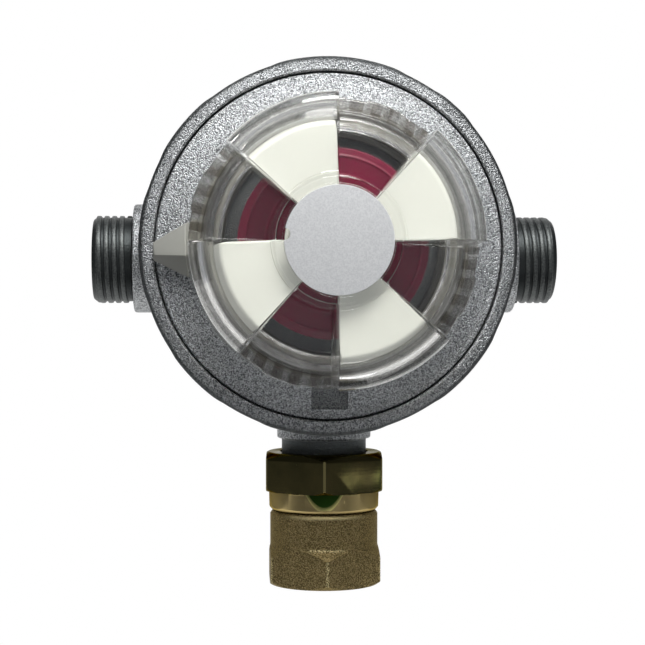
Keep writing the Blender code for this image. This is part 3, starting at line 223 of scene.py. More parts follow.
def clear_plastic():
    """Clear moulded plastic that lets the lamps reach what is under it, with painted shade on the
    window ledges.
    """
    glass, painted_shade_tint = (0.95, 0.945, 0.925), (0.2, 0.17, 0.14)
    clear = Finish("clear_plastic", glass, 0.06)
    clear.put("Transmission Weight", 1.0)
    clear.put("IOR", 1.42)
    clear.put("Coat Weight", 1.0)
    angle = clear.math("ARCTAN2", clear.along(2), clear.along(0))
    radius = clear.from_knob_axis()
    # Painted shade: dark brown-grey blocks on the ledge under each window stand for the dark
    # refraction through its ribs.
    window = clear.band(clear.math("SINE", angle * 4 + 3.0), 0.12, 0.2)
    tooth = clear.band(clear.math("SINE", angle * 44 + clear.grain(45, 1.0) * 14), -0.4, -0.1)
    ledge = clear.zone(radius, 28.6, 28.8) * clear.zone(radius, 32.3, 32.1)
    ribbed = window * ledge
    painted_shade_blocks = tooth * clear.band(clear.grain(260, 2.0), 0.2, 0.6) * 0.55 + 0.45
    clear.put("Base Color", clear.mix(ribbed * painted_shade_blocks, glass, painted_shade_tint))
    ripple = clear.grain(90, 2.0)
    frame_band = window * clear.zone(radius, 25.9, 26.2) * clear.zone(radius, 28.6, 28.3)
    clear.put("Roughness", ripple * 0.04 + ribbed * 0.12 + frame_band * 0.2 + 0.02)
    clear.bump(ripple, 0.0003, 0.15)
    shadow = clear.node("LightPath", output="Is Shadow Ray")
    through = clear.node("BsdfTransparent", {"Color": (0.9, 0.9, 0.885, 1.0)})
    clear.blended(shadow.peak(0.2), through)
    return clear.made


def moulded(name, colour, second, roughness, shade=0.0):
    """Coloured moulded plastic with a faint texture and slow tone, and painted shade inside a given
    radius.
    """
    plastic = Finish(name, colour, roughness)
    tone = plastic.band(plastic.grain(45, 3.0), 0.3, 0.7)
    skin = plastic.mix(tone, colour, second)
    if shade:
        # Painted shade: darker inside the radius, where the knob covers the piece.
        under = plastic.zone(plastic.from_knob_axis(), shade + 0.4, shade)
        skin = plastic.mix(under, skin, (0.045, 0.043, 0.038))
    plastic.put("Base Color", skin)
    texture = plastic.grain(500, 3.0)
    plastic.put("Roughness", texture * 0.15 + (roughness - 0.07))
    plastic.put("Specular IOR Level", 0.25)
    plastic.bump(texture, 0.00004, 0.5)
    return plastic.made


def silver_film():
    """Metallic label film with fine flecks."""
    film = Finish("silver_film", (0.66, 0.67, 0.68), 0.42, 0.1)
    fine = film.grain(3200, 1.0)
    film.put("Base Color", film.mix(film.band(fine, 0.3, 0.7), (0.77, 0.78, 0.79),
                                    (0.9, 0.91, 0.915)))
    film.put("Roughness", fine * 0.25 + 0.28)
    film.bump(fine, 0.00003, 0.4)
    return film.made


def turned_brass():
    """Polished brass, nearly black where it mirrors the dark, with fine turning lines; painted shade
    on its top chamfer, a painted green glint on its right-hand faces and painted highlights on its
    corners and the collar's sloped flats.
    """
    brass = Finish("turned_brass", (0.2, 0.16, 0.06), 0.2, 1.0)
    brass.put("Specular Tint", (0.25, 0.22, 0.12, 1.0))
    lines = brass.node("TexNoise", {"Vector": brass.node(
        "Mapping", {"Vector": brass.place(), "Scale": (0.03, 0.03, 1.0)}), "Scale": 2200.0,
        "Detail": 3.0}, output=0)
    stain = brass.band(brass.grain(120, 4.0, 0.65), 0.35, 0.75)
    tone = brass.mix(stain, (0.24, 0.2, 0.08), (0.12, 0.11, 0.046))
    drop = brass.along(2)
    collar = brass.zone(drop, -58.0, -58.3)
    radius = brass.from_outlet_axis()
    # Painted shade: the top chamfer is darker.
    slope = brass.zone(drop, -50.6, -50.3) * brass.zone(radius, 13.5, 13.8)
    # Painted glint: a green tint on the right-hand faces.
    green = brass.zone(brass.along(0), 2, 12) * brass.band(brass.grain(70, 3.0), 0.4, 0.6)
    faced = brass.mix(green * 0.7, tone, (0.16, 0.2, 0.05))
    # Painted highlight: a bright line on the hexagon's corners.
    corner = brass.zone(radius, 15.78, 15.86)
    toned = brass.mix(corner, brass.mix(slope, faced, (0.075, 0.065, 0.026)), (0.8, 0.68, 0.3))
    # Painted highlight: a bright rim round each sloped flat at the front of the collar; inside the
    # flats the colour is dark green.
    front = brass.zone(brass.along(1), -31.0, -32.0) * brass.zone(drop, -62.0, -61.6)
    sunk = brass.zone(radius, COLLAR_RADIUS - 0.1, COLLAR_RADIUS - 0.3) * front
    rim = brass.zone(radius, COLLAR_RADIUS - 0.03, COLLAR_RADIUS - 0.07) * front
    bright = brass.mix(rim, (0.66, 0.52, 0.24), (1.0, 0.9, 0.35))
    collar_with_painted_rim = brass.mix(sunk, bright, (0.035, 0.09, 0.015))
    brass.put("Base Color", brass.mix(collar, toned, collar_with_painted_rim))
    brass.put("Roughness", stain * 0.16 + lines * 0.12 + collar * 0.2 + 0.08)
    brass.bump(lines, 0.00004, 0.35)
    return brass.made


def forged_brass():
    """Brass with the grainy skin of a hot forging, and painted highlights on its corners, flare and
    top chamfer.
    """
    brass = Finish("forged_brass", (0.22, 0.17, 0.08), 0.5, 0.75)
    fine = brass.grain(3400, 1.0, 0.6)
    coarse = brass.grain(350, 4.0, 0.6)
    fleck = brass.band(fine * 0.85 + coarse * 0.15, 0.42, 0.64)
    brass.put("Specular Tint", (0.4, 0.35, 0.2, 1.0))
    drop = brass.along(2)
    beside = brass.along(0).size()
    # Painted highlights: bright colour on the hexagon's corners, the middle of the flare above the
    # hexagon and the middle of the top chamfer.
    top = brass.zone(drop, -64.2, -63.7) * brass.zone(drop, -63.2, -63.4)
    facet = (brass.zone(drop, -71.8, -71.4) * brass.zone(drop, -70.9, -71.1)
             * brass.zone(beside, 5.0, 3.0))
    corner = brass.zone(brass.from_outlet_axis(), 14.8, 14.95).peak(facet) * fleck
    corner = corner.peak(top * brass.zone(beside, 11, 4) * 0.7)
    skin = brass.mix(fleck, (0.15, 0.115, 0.05), (0.5, 0.38, 0.175))
    brass.put("Base Color", brass.mix(corner, skin, (1.0, 0.85, 0.45)))
    brass.put("Roughness", coarse * 0.3 + 0.25)
    brass.bump(fine + coarse * 0.5, 0.00028, 1.0)
    return brass.made


def hidden_metal(name, colour, roughness):
    """Plated or machined metal of the pieces inside."""
    metal = Finish(name, colour, roughness, 0.95)
    wear = metal.grain(400, 4.0, 0.6)
    metal.put("Base Color", metal.mix(metal.band(wear, 0.3, 0.7), colour,
                                      tuple(0.7 * c for c in colour)))
    metal.put("Roughness", wear * 0.2 + (roughness - 0.1))
    metal.bump(wear, 0.00004, 0.4)
    return metal.made


def black_rubber(name, colour):
    rubber = Finish(name, colour, 0.7)
    dust = rubber.grain(600, 5.0, 0.7)
    rubber.put("Base Color", rubber.mix(rubber.band(dust, 0.4, 0.8), colour,
                                        tuple(c + 0.05 for c in colour)))
    rubber.bump(dust, 0.00008, 0.6)
    return rubber.made


def alone(piece):
    """Selects one piece and nothing else."""
    bpy.ops.object.select_all(action="DESELECT")
    piece.select_set(True)
    bpy.context.view_layer.objects.active = piece


def applied(piece):
    """Writes a piece's own place, turn and scale into its mesh."""
    alone(piece)
    bpy.ops.object.transform_apply(location=True, rotation=True, scale=True)
    return piece


def settled(piece, turn=(0, 0, 0), place=(0, 0, 0)):
    """Turns and moves a piece that was modelled round Z, and keeps the place in its mesh."""
    piece.rotation_euler = turn
    piece.location = Vector(place) * MM
    return applied(piece)


def apply_modifier(piece, kind, **settings):
    """Adds one modifier and writes it into the mesh."""
    alone(piece)
    step = piece.modifiers.new(kind.lower(), kind)
    for name, value in settings.items():
        setattr(step, name, value)
    bpy.ops.object.modifier_apply(modifier=step.name)
    return piece


def cut(piece, tool, operation="DIFFERENCE"):
    """Cuts a piece with a tool piece, which goes away."""
    apply_modifier(piece, "BOOLEAN", operation=operation, solver="EXACT", object=tool)
    bpy.data.objects.remove(tool, do_unlink=True)
    return piece


def eased(piece, width, segments, angle):
    """Rounds every edge sharper than an angle."""
    return apply_modifier(piece, "BEVEL", width=width * MM, segments=segments,
                          limit_method="ANGLE", angle_limit=math.radians(angle))


def joined(*pieces):
    """Makes one piece of several that touch or overlap."""
    alone(pieces[0])
    for piece in pieces[1:]:
        piece.select_set(True)
    bpy.ops.object.join()
    return pieces[0]


def smooth(piece, angle):
    """Shades a piece smooth, but for edges sharper than an angle."""
    alone(piece)
    bpy.ops.object.shade_smooth_by_angle(angle=math.radians(angle))
    return piece


def drawn(name, line):
    """Draws a line by extruding one corner from point to point, and stays in edit mode."""
    bpy.ops.object.select_all(action="DESELECT")
    bpy.ops.mesh.primitive_plane_add(size=MM)
    piece = bpy.context.object
    piece.name = name
    piece.data.name = name
    bpy.ops.object.mode_set(mode="EDIT")
    bpy.ops.mesh.select_all(action="SELECT")
    bpy.ops.mesh.merge(type="CENTER")
    bpy.ops.transform.translate(value=Vector(line[0]) * MM)
    for here, there in zip(line, line[1:]):
        step = (Vector(there) - Vector(here)) * MM
        bpy.ops.mesh.extrude_region_move(TRANSFORM_OT_translate={"value": step})
    return piece


def rounded(corners, steps=3):
    """Fillets the corners (radius, height, fillet) of a section."""
    line = []
    for k, (x, y, fillet) in enumerate(corners):
        corner = Vector((x, y))
        before = Vector(corners[k - 1][:2]) - corner
        after = Vector(corners[(k + 1) % len(corners)][:2]) - corner
        if not fillet or k in (0, len(corners) - 1):
            line.append((x, y))
            continue
        turn = before.angle(after)
        reach = min(fillet / math.tan(0.5 * turn), 0.48 * before.length, 0.48 * after.length)
        start, end = corner + before.normalized() * reach, corner + after.normalized() * reach
        for m in range(steps + 1):
            t = m / steps
            point = start * (1 - t) ** 2 + corner * 2 * t * (1 - t) + end * t ** 2
            line.append((point.x, point.y))
    return line


def spun(name, outline, steps=128):
    """Spins a section of (radius, height) points round Z."""
    piece = drawn(name, [(r, 0, h) for r, h in outline])
    bpy.ops.mesh.select_all(action="SELECT")
    bpy.ops.mesh.spin(steps=steps, angle=TURN, center=(0, 0, 0), axis=(0, 0, 1))
    bpy.ops.mesh.select_all(action="SELECT")
    bpy.ops.mesh.remove_doubles(threshold=1e-6)
    bpy.ops.mesh.normals_make_consistent(inside=False)
    bpy.ops.object.mode_set(mode="OBJECT")
    return piece


def ringed(corners, steps=3):
    """A closed section: the fillets of its corners, ending where it began."""
    return rounded(corners + corners[:1], steps)


def block(name, low, high, flare=0.0):
    """A block between two corners, its upper side wider by a flare."""
    middle = (Vector(low) + Vector(high)) * 0.5 * MM
    size = (Vector(high) - Vector(low)) * MM
    bpy.ops.object.select_all(action="DESELECT")
    bpy.ops.mesh.primitive_cube_add(size=1, location=middle, scale=size)
    piece = bpy.context.object
    piece.name = name
    bpy.ops.object.mode_set(mode="EDIT")
    bpy.ops.mesh.select_all(action="DESELECT")
    bpy.ops.object.mode_set(mode="OBJECT")
    for vertex in piece.data.vertices:
        vertex.select = vertex.co.z > 0
    bpy.ops.object.mode_set(mode="EDIT")
    bpy.ops.transform.resize(value=(1 + flare, 1 + flare, 1))
    bpy.ops.object.mode_set(mode="OBJECT")
    return applied(piece)


def rod(vertices, radius, length, place):
    """A round bar along Z, as a drill or a leg."""
    bpy.ops.object.select_all(action="DESELECT")
    bpy.ops.mesh.primitive_cylinder_add(vertices=vertices, radius=radius * MM, depth=length * MM,
                                        location=[part * MM for part in place])
    return applied(bpy.context.object)


def hexagon(name, flats, low, high, turn):
    """A six sided bar along Z."""
    piece = rod(6, flats / math.sqrt(3), high - low, (0, 0, 0.5 * (low + high)))
    piece.name = name
    piece.rotation_euler = (0, 0, math.radians(turn))
    return applied(piece)


def dressed(piece, finish, body, slot, *nodes):
    """Gives a finished piece its material, the body it moves with and the nodes it stands for."""
    piece.data.materials.clear()
    piece.data.materials.append(finish)
    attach(piece, body)
    if nodes:
        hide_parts(*nodes)
    return piece


def smoothed(share):
    """A share between 0 and 1 with soft ends."""
    share = min(max(share, 0.0), 1.0)
    return share * share * (3 - 2 * share)


def lobe_share(angle, inset, width):
    """1 inside a lobe and 0 inside a window, for an angle round the knob in degrees."""
    turn = (angle - LOBE_START + 15) % LOBE_PITCH - 15
    rise = smoothed((turn - inset) / width + 0.5)
    fall = smoothed((LOBE_ANGLE - inset - turn) / width + 0.5)
    return rise * fall


def flute_share(angle):
    """1 inside a grip flute of the knob's edge."""
    turn = (angle - 15.5) % 30
    return smoothed((turn - 0.5) / 1.4) * smoothed((15.5 - turn) / 1.4)


def buttress_share(angle):
    """1 on the raised ends of a window's ledge, next to the lobes."""
    turn = (angle - LOBE_START - LOBE_ANGLE) % LOBE_PITCH
    rest = LOBE_PITCH - LOBE_ANGLE - turn
    return max(smoothed((BUTTRESS_ANGLE - turn) / 0.8), smoothed((BUTTRESS_ANGLE - rest) / 0.8))


def lobed(name, lobe, window, inside_from, inset):
    """Spins a lobe's section, and between the lobes moves it to the window's section.

    Both sections have the same number of points. Those from inside_from on are the inner face,
    whose lobes are narrower by the inset on each side.
    """
    piece = spun(name, lobe, 480)
    spots = mathutils.kdtree.KDTree(len(lobe))
    for k, (r, h) in enumerate(lobe):
        spots.insert((r, 0, h), k)
    spots.balance()
    for vertex in piece.data.vertices:
        x, y, z = vertex.co / MM
        radius, angle = math.hypot(x, y), math.degrees(math.atan2(y, x))
        if radius < 0.01:
            continue
        k = spots.find((radius, 0, z))[1]
        hidden = k >= inside_from
        share = lobe_share(angle, inset if hidden else 0.0, 1.6)
        r = window[k][0] + (lobe[k][0] - window[k][0]) * share
        h = window[k][1] + (lobe[k][1] - window[k][1]) * share
        if not hidden and r > KNOB_RADIUS - 1.6 and 1.0 < h < LOBE_HEIGHT - 4:
            r -= 0.5 * flute_share(angle)
        if not hidden and share < 0.5 and r > 31.0 and h > SKIRT_HEIGHT - 1:
            h += 1.6 * buttress_share(angle)
        vertex.co = Vector((r * x / radius, r * y / radius, h)) * MM
    return piece


def body_shell():
    """Cast bowl with its rolled lip, the inlet and outlet bosses and the screw holes."""
    bowl = spun("cast_body", rounded([
        (0, 0, 0), (PAD_RADIUS, 0, 0.5), (PAD_RADIUS, 2, 0.7), (33.5, 2, 1), (37, 3, 2.6),
        (38, 31.4, 1.5),
        (40.5, 33.8, 1.2), (RIM_RADIUS, 33.8, 0.9), (RIM_RADIUS, 40.2, 0.5),
        (RIM_RADIUS - 0.7, 40.85, 0.6), (SEAM_RADIUS + 0.5, RIM_FRONT, 0.3),
        (SEAM_RADIUS + 0.1, RIM_FRONT - 0.25, 0.2), (SEAM_RADIUS, 38.2, 0.2), (34.5, 38.2, 0.2),
        (34.5, 35.7, 0.2), (34.5, 8, 2), (0, 8, 0)], 5), 180)
    for side in (-1, 1):
        cut(bowl, rod(32, 2.1, 11, (side * 15, 0, 0)))
    swaged(bowl)
    settled(bowl, FRONT)
    boss = [(8.9, 45.6, 0.2), (13, 45.6, 0.7), (13, 39.6, 0.8), (13.5, 37.9, 0.8), (15.6, 35.0, 0),
            (8.9, 33.0, 0)]
    parts = [bowl]
    for side in (-1, 1):
        part = spun("boss", ringed(boss), 96)
        parts.append(settled(part, (0, side * math.radians(90), 0),
                             (0, -INLET_DEPTH, BOSS_RISE - INLET_DROP)))
    neck = [(7.5, NECK_END, 0.2), (NECK_RADIUS, NECK_END, 0.4), (NECK_RADIUS, 45.5, 0.3),
            (11.3, 45.5, 0.5), (11.3, 40.0, 0.8), (12.2, 38.2, 0.8), (14.2, 35.2, 0),
            (7.5, 33.5, 0)]
    parts.append(settled(spun("neck", ringed(neck), 96), DOWN, (0, -INLET_DEPTH, 0)))
    return smooth(joined(*parts), 34)


def swaged(bowl):
    """Presses the flats that the rolling tool leaves on the lip's crest.

    Each has its middle and half width in degrees, and its depth.
    """
    crest_start = SEAM_RADIUS + 1.0
    for middle, half, press in ((118, 14, 0.35), (158, 9, 0.25), (28, 16, 0.3), (61, 9, 0.25),
                                (-20, 11, 0.3), (-64, 12, 0.22), (-118, 10, 0.25), (-155, 12, 0.3)):
        for vertex in bowl.data.vertices:
            x, y, z = vertex.co / MM
            radius = math.hypot(x, y)
            if radius < crest_start or z < RIM_FRONT - 3.2:
                continue
            away = abs((math.degrees(math.atan2(y, x)) - middle + 180) % 360 - 180)
            share = smoothed((half - away) / 5.0)
            vertex.co.z -= press * MM * share * smoothed((radius - crest_start) / 1.2)
            vertex.co.xy = vertex.co.xy * (1 - 0.006 * share)


def bonnet_cover():
    """Domed cover with the turret under the knob and the sunk mark at its foot."""
    cover = spun("bonnet_cover", rounded([
        (0, 58.3, 0), (10, 58.3, 0.7), (10, CROWN, 1.6), (27.5, CROWN, 7), (38.3, 40.9, 1.5),
        (SEAM_RADIUS - SEAM_WIDTH, 40.75, 0.4), (SEAM_RADIUS - SEAM_WIDTH, 38.6, 0.2),
        (34.8, 38.4, 0.2), (33, 39.2, 2), (26, 41.4, 3), (8.4, 41.6, 1), (8.4, 55.4, 1),
        (0, 55.4, 0)], 4), 180)
    for side in (-1, 1):
        cut(cover, rod(32, 1.6, 8, (side * LEG_PLACE, 0, 43)))
    mark = block("mark", (-MARK_HALF, MARK_LOW, 40.6), (MARK_HALF, -31.6, 46), 0.02)
    cut(cover, eased(mark, 0.35, 2, 35))
    settled(cover, FRONT)
    return smooth(cover, 34)


def inlet_nipple(side, name):
    """Threaded nipple: a turned core with one ridge wound round it."""
    core = spun(name, ringed([
        (NIPPLE_BORE, 43.6, 0), (4.9, 43.6, 0), (4.9, 39.0, 0), (8.2, 39.0, 0.1), (8.6, 39.4, 0.1),
        (8.6, 45.9, 0.1), (THREAD_ROOT, 45.9, 0.1), (THREAD_ROOT, 53.2, 0.1), (10.36, 53.4, 0.15),
        (10.36, 54.1, 0.5), (9.5, NIPPLE_END, 0.3), (7.5, NIPPLE_END, 0.2),
        (NIPPLE_BORE, 53.5, 0.3)]), 128)
    start = 45.95
    ridge = wound([(9.9, start), (10.36, start + 0.22), (10.46, start + 0.34),
                   (THREAD_CREST, start + 0.75), (10.46, start + 1.16), (10.36, start + 1.28),
                   (9.9, start + 1.5)], 4, 72)
    piece = joined(core, ridge)
    settled(piece, (0, side * math.radians(90), 0), (0, -INLET_DEPTH, -INLET_DROP))
    return smooth(piece, 40)


def wound(section, turns, steps):
    """A thread's ridge: a section (radius, height) wound round Z, with its two ends capped."""
    ridge = drawn("ridge", [(r, 0, h) for r, h in section + section[:1]])
    bpy.ops.mesh.select_all(action="SELECT")
    bpy.ops.mesh.remove_doubles(threshold=1e-6)
    bpy.ops.object.mode_set(mode="OBJECT")
    apply_modifier(ridge, "SCREW", angle=TURN, screw_offset=THREAD_PITCH * MM, iterations=turns,
                   steps=steps, render_steps=steps, axis="Z", use_normal_calculate=True,
                   use_merge_vertices=False)
    alone(ridge)
    bpy.ops.object.mode_set(mode="EDIT")
    bpy.ops.mesh.select_mode(type="EDGE")
    bpy.ops.mesh.select_all(action="DESELECT")
    bpy.ops.mesh.select_non_manifold()
    bpy.ops.mesh.fill()
    bpy.ops.mesh.select_all(action="SELECT")
    bpy.ops.mesh.normals_make_consistent(inside=False)
    bpy.ops.mesh.select_mode(type="VERT")
    bpy.ops.object.mode_set(mode="OBJECT")
    return ridge


def knob_shell():
    """Clear knob: four lobes, four windows and a fluted edge."""
    recess = LABEL_RADIUS + 0.3
    lobe_ceiling = LOBE_HEIGHT - KNOB_WALL
    window_ceiling = VALLEY_HEIGHT - KNOB_WALL
    window_floor = VALLEY_HEIGHT - 0.6
    foot = 12.8
    hub = [(0, 25.9, 0), (recess, 25.9, 0.1), (recess, KNOB_HEIGHT, 0.25),
           (HUB_RADIUS, KNOB_HEIGHT, 0.4)]
    socket = [(11.9, lobe_ceiling, 0.3), (4.6, lobe_ceiling, 0.3), (4.6, 13.2, 0.2),
              (2.5, 13.2, 0.2), (2.5, 20.9, 0.2), (0, 20.9, 0)]
    lobe = rounded(hub + [
        (14.6, LOBE_HEIGHT, 0.9), (20, LOBE_HEIGHT, 0), (21.5, LOBE_HEIGHT, 0), (23, LOBE_HEIGHT, 0),
        (24, LOBE_HEIGHT, 0), (25, LOBE_HEIGHT, 0), (31.75, LOBE_HEIGHT - 0.1, 6.0), (32.3, 10.7, 0.4),
        (KNOB_RADIUS, 9.3, 0.6), (KNOB_RADIUS, 0, 0.5), (30.4, 0, 0.2), (30.2, 7.9, 0.1),
        (30.19, 8.2, 0), (30.18, 8.4, 0), (30.16, 8.6, 0), (30.14, 8.8, 0), (30.1, 9.0, 0.1),
        (29.75, lobe_ceiling, 4.4), (foot + 0.6, lobe_ceiling, 0.3)] + socket, 4)
    window = rounded(hub + [
        (14.3, window_floor, 1.0), (24.6, window_floor, 0), (25.2, VALLEY_HEIGHT - 0.45, 0),
        (25.7, VALLEY_HEIGHT - 0.05, 0), (26.1, VALLEY_HEIGHT + 0.3, 0),
        (26.6, VALLEY_HEIGHT + 0.45, 0),
        (28.2, VALLEY_HEIGHT - 0.8, 2.2), (28.9, SKIRT_HEIGHT, 0.8),
        (KNOB_RADIUS, SKIRT_HEIGHT, 0.8), (KNOB_RADIUS, 0, 0.5), (30.4, 0, 0.2),
        (30.2, LEDGE_UNDER, 0.1), (29.95, LEDGE_UNDER, 0), (29.7, LEDGE_UNDER, 0),
        (27.6, LEDGE_UNDER, 0), (27.35, LEDGE_UNDER, 0), (26.3, LEDGE_UNDER, 0.6),
        (25.2, window_ceiling, 1.6), (foot, window_ceiling, 0.4)] + socket, 4)
    inner = next(k for k, (r, h) in enumerate(lobe) if h < 0.3 and r < 30.6)
    knob = lobed("clear_knob", lobe, window, inner, WALL_ANGLE)
    return smooth(settled(knob, FRONT, (0, -KNOB_BASE, 0)), 30)


def white_star():
    """White blanking piece that fills the lobes."""
    bore = 4.9
    top = LOBE_HEIGHT - KNOB_WALL - 0.3
    under = top - 2.4
    lobe = rounded([
        (bore, under, 0), (bore, top, 0.2), (11.6, top, 0.2), (13.5, top, 0),
        (13.65, top - 0.5, 0), (14.05, top - 0.5, 0), (14.2, top, 0), (25.3, top, 1.2),
        (27.4, 10.2, 0.3), (26.2, 10.2, 0.3), (24.2, top - 1.6, 0.8), (11.4, top - 1.6, 0.2),
        (11.0, under, 0.2), (bore, under, 0)], 5)
    window = rounded([
        (bore, under, 0), (bore, top, 0.2), (11.0, top, 0.2), (11.1, top - 0.1, 0),
        (11.15, top - 0.2, 0), (11.2, top - 0.3, 0), (11.25, top - 0.4, 0), (11.4, top - 0.5, 0.1),
        (11.42, top - 0.9, 0.1), (11.42, top - 1.2, 0.1), (11.4, top - 1.6, 0.1),
        (11.2, top - 1.9, 0.1), (11.0, under, 0.2), (bore, under, 0)], 5)
    star = lobed("white_star", lobe, window, 0, STAR_ANGLE)
    return smooth(settled(star, FRONT, (0, -KNOB_BASE, 0)), 30)


def label_disc():
    """Bare silver plate with a half round notch at its edge."""
    low = KNOB_BASE + 26.2
    disc = spun("label_disc", rounded([
        (0, low, 0), (LABEL_RADIUS, low, 0.05), (LABEL_RADIUS, low + 0.6, 0.15),
        (0, low + 0.6, 0)], 3), 160)
    notch = math.radians(173.7)
    middle = (LABEL_RADIUS * math.cos(notch), LABEL_RADIUS * math.sin(notch), low)
    cut(disc, rod(32, 1.3, 4, middle))
    return smooth(settled(disc, FRONT), 30)


def arrow_ring():
    """Ring under the knob with its two faced arrow."""
    low, top = 44.2, 45.9
    ring = spun("arrow_ring", ringed([
        (25.2, low, 0.1), (30.1, low, 0.1), (30.1, top + 1.8, 0.2), (28.8, top + 1.8, 0.2),
        (28.6, top, 0.2), (25.2, top, 0.2)]), 128)
    base, reach, half, tip = 29.6, 40.2, 6.0, 2.0
    spots = [(base, -half - 0.9, low), (base, half + 0.9, low), (base, half + 0.9, low + 1.3),
             (base, 1.6, top - 0.2), (base, -half - 0.9, low + 1.3),
             (32.8, -half, low), (32.8, half, low), (32.8, half, low + 1.5), (32.8, 1.4, top + 4.2),
             (32.8, -half, low + 1.5),
             (reach, -tip, 42.6), (reach, tip, 42.6), (reach, tip, 43.7), (reach - 0.4, 0.9, 45.4),
             (reach, -tip, 43.7)]
    arrow = section_hull("arrow", spots, 5)
    eased(arrow, 0.25, 2, 20)
    for vertex in arrow.data.vertices:
        vertex.co = mathutils.Matrix.Rotation(math.radians(182), 3, "Z") @ vertex.co
    return smooth(settled(joined(ring, arrow), FRONT), 22)


def section_hull(name, spots, count):
    """Bridges sections of the same number of corners into one closed form."""
    bpy.ops.object.select_all(action="DESELECT")
    piece = None
    for k in range(0, len(spots), count):
        section = spots[k:k + count]
        ring = drawn(f"{name}_{k}", section + section[:1])
        bpy.ops.mesh.select_all(action="SELECT")
        bpy.ops.mesh.remove_doubles(threshold=1e-6)
        bpy.ops.object.mode_set(mode="OBJECT")
        piece = joined(piece, ring) if piece else ring
    alone(piece)
    bpy.ops.object.mode_set(mode="EDIT")
    bpy.ops.mesh.select_mode(type="EDGE")
    bpy.ops.mesh.select_all(action="SELECT")
    bpy.ops.mesh.bridge_edge_loops()
    bpy.ops.mesh.select_all(action="DESELECT")
    bpy.ops.mesh.select_non_manifold()
    bpy.ops.mesh.fill()
    bpy.ops.mesh.select_all(action="SELECT")
    bpy.ops.mesh.normals_make_consistent(inside=False)
    bpy.ops.mesh.select_mode(type="VERT")
    bpy.ops.object.mode_set(mode="OBJECT")
    piece.name = name
    return piece


def red_ring():
    """Glossy red indicator with a stepped face and two legs through the bonnet."""
    top = KNOB_BASE + VALLEY_HEIGHT - KNOB_WALL - 2.6
    ring = spun("red_ring", ringed([
        (10.6, top - 3, 0.3), (RED_RADIUS, top - 3, 0.3), (RED_RADIUS, top - 1.0, 0.3),
        (19.9, top - 0.85, 0.2), (19.5, top - 0.6, 0.2), (19.1, top - 0.8, 0.2),
        (15.4, top - 0.8, 0.4), (14.7, top, 0.4), (10.6, top, 0.3)], 4), 160)
    parts = [ring]
    leg_low, leg_high = 38.8, top - 2
    for side in (-1, 1):
        leg = rod(24, 1.3, leg_high - leg_low, (side * LEG_PLACE, 0, 0.5 * (leg_high + leg_low)))
        parts.append(eased(leg, 0.2, 2, 35))
    return smooth(settled(joined(*parts), FRONT), 30)


def hex_nut(name, outline, flats, low, high, turn):
    """A turned section cut to six flats, as from bar."""
    nut = spun(name, outline, 144)
    cut(nut, hexagon("flats", flats, low, high, turn), "INTERSECT")
    return nut


def union_nut():
    """Union nut: chamfered hexagon, and a collar with six sloped flats under it."""
    nut = hex_nut("brass_union_nut", ringed([
        (10.65, 48.8, 0.3), (13.4, 48.8, 0.2), (16.25, 50.3, 0.1), (16.25, 56.9, 0.1),
        (14.6, 58.1, 0.1), (13.3, 58.25, 0.15), (COLLAR_RADIUS, 62.0, 0.4), (12.7, 62.6, 0.3),
        (11.9, 62.6, 0.2), (11.9, 51.2, 0.2), (10.65, 51.2, 0.2)], 4), NUT_FLATS, 47, 64, 3)
    cut_deep, cut_shallow = 12.35, 13.1
    for k in range(6):
        flat = block("flat", (12.4, -6, 58.0), (16.6, 6, 62.0))
        for vertex in flat.data.vertices:
            if vertex.co.x < 14 * MM:
                vertex.co.x = (cut_deep if vertex.co.z < 60 * MM else cut_shallow) * MM
        flat.rotation_euler = (0, 0, math.radians(33 + 60 * k))
        cut(nut, applied(flat))
    eased(nut, 0.14, 2, 26)
    return smooth(settled(nut, DOWN, (0, -INLET_DEPTH, 0)), 24)


def coupling():
    """Forged coupling: round neck, hexagon foot and a threaded socket."""
    piece = hex_nut("forged_coupling", ringed([
        (7.5, 57.1, 0.3), (11.0, 57.1, 0.2), (11.6, 57.7, 0.1), (11.6, 63.0, 0.1), (12.45, 63.0, 0.2),
        (13.0, 63.7, 0.5), (13.0, 71.6, 1.2), (15.1, 73.8, 0.3), (15.1, 79.3, 0.3),
        (13.1, COUPLING_END, 0.3),
        (10.5, COUPLING_END, 0.3), (9.3, 79.4, 0.2), (9.3, 65.6, 0.3), (7.5, 65.6, 0.3)], 4),
        COUPLING_FLATS, 56, 82, 0)
    ridge = wound([(9.5, 66.7), (8.75, 67.4), (8.75, 67.7), (9.5, 68.4)], 6, 64)
    return smooth(settled(joined(piece, ridge), DOWN, (0, -INLET_DEPTH, 0)), 24)


def stage():
    """White floor and backdrop that show plain white to the camera, and keep the shadow."""
    paper = Finish("white_paper", (0.9, 0.9, 0.9), 0.9)
    seen = paper.node("LightPath", output="Is Camera Ray")
    glossy = paper.node("LightPath", output="Is Glossy Ray")
    through = paper.node("LightPath", output="Is Transmission Ray")
    paper.blended(seen.peak(glossy).peak(through),
                  paper.node("Emission", {"Color": (1, 1, 1, 1)}))
    for name, size, place, turn in (("floor", 2.0, (0, 0.9, -0.26), (0, 0, 0)),
                                    ("backdrop", 2.2, (0, 1.3, 0.6), (math.radians(90), 0, 0))):
        bpy.ops.object.select_all(action="DESELECT")
        bpy.ops.mesh.primitive_plane_add(size=size, location=place, rotation=turn)
        sheet = bpy.context.object
        sheet.name = name
        sheet.data.materials.append(paper.made)


def lamp(name, place, target, size, power):
    """A square lamp that looks at a target."""
    bpy.ops.object.select_all(action="DESELECT")
    bpy.ops.object.light_add(type="AREA", location=place)
    light = bpy.context.object
    light.name = name
    light.data.size = size
    light.data.energy = power
    light.rotation_euler = (Vector(target) - Vector(place)).to_track_quat("-Z", "Y").to_euler()


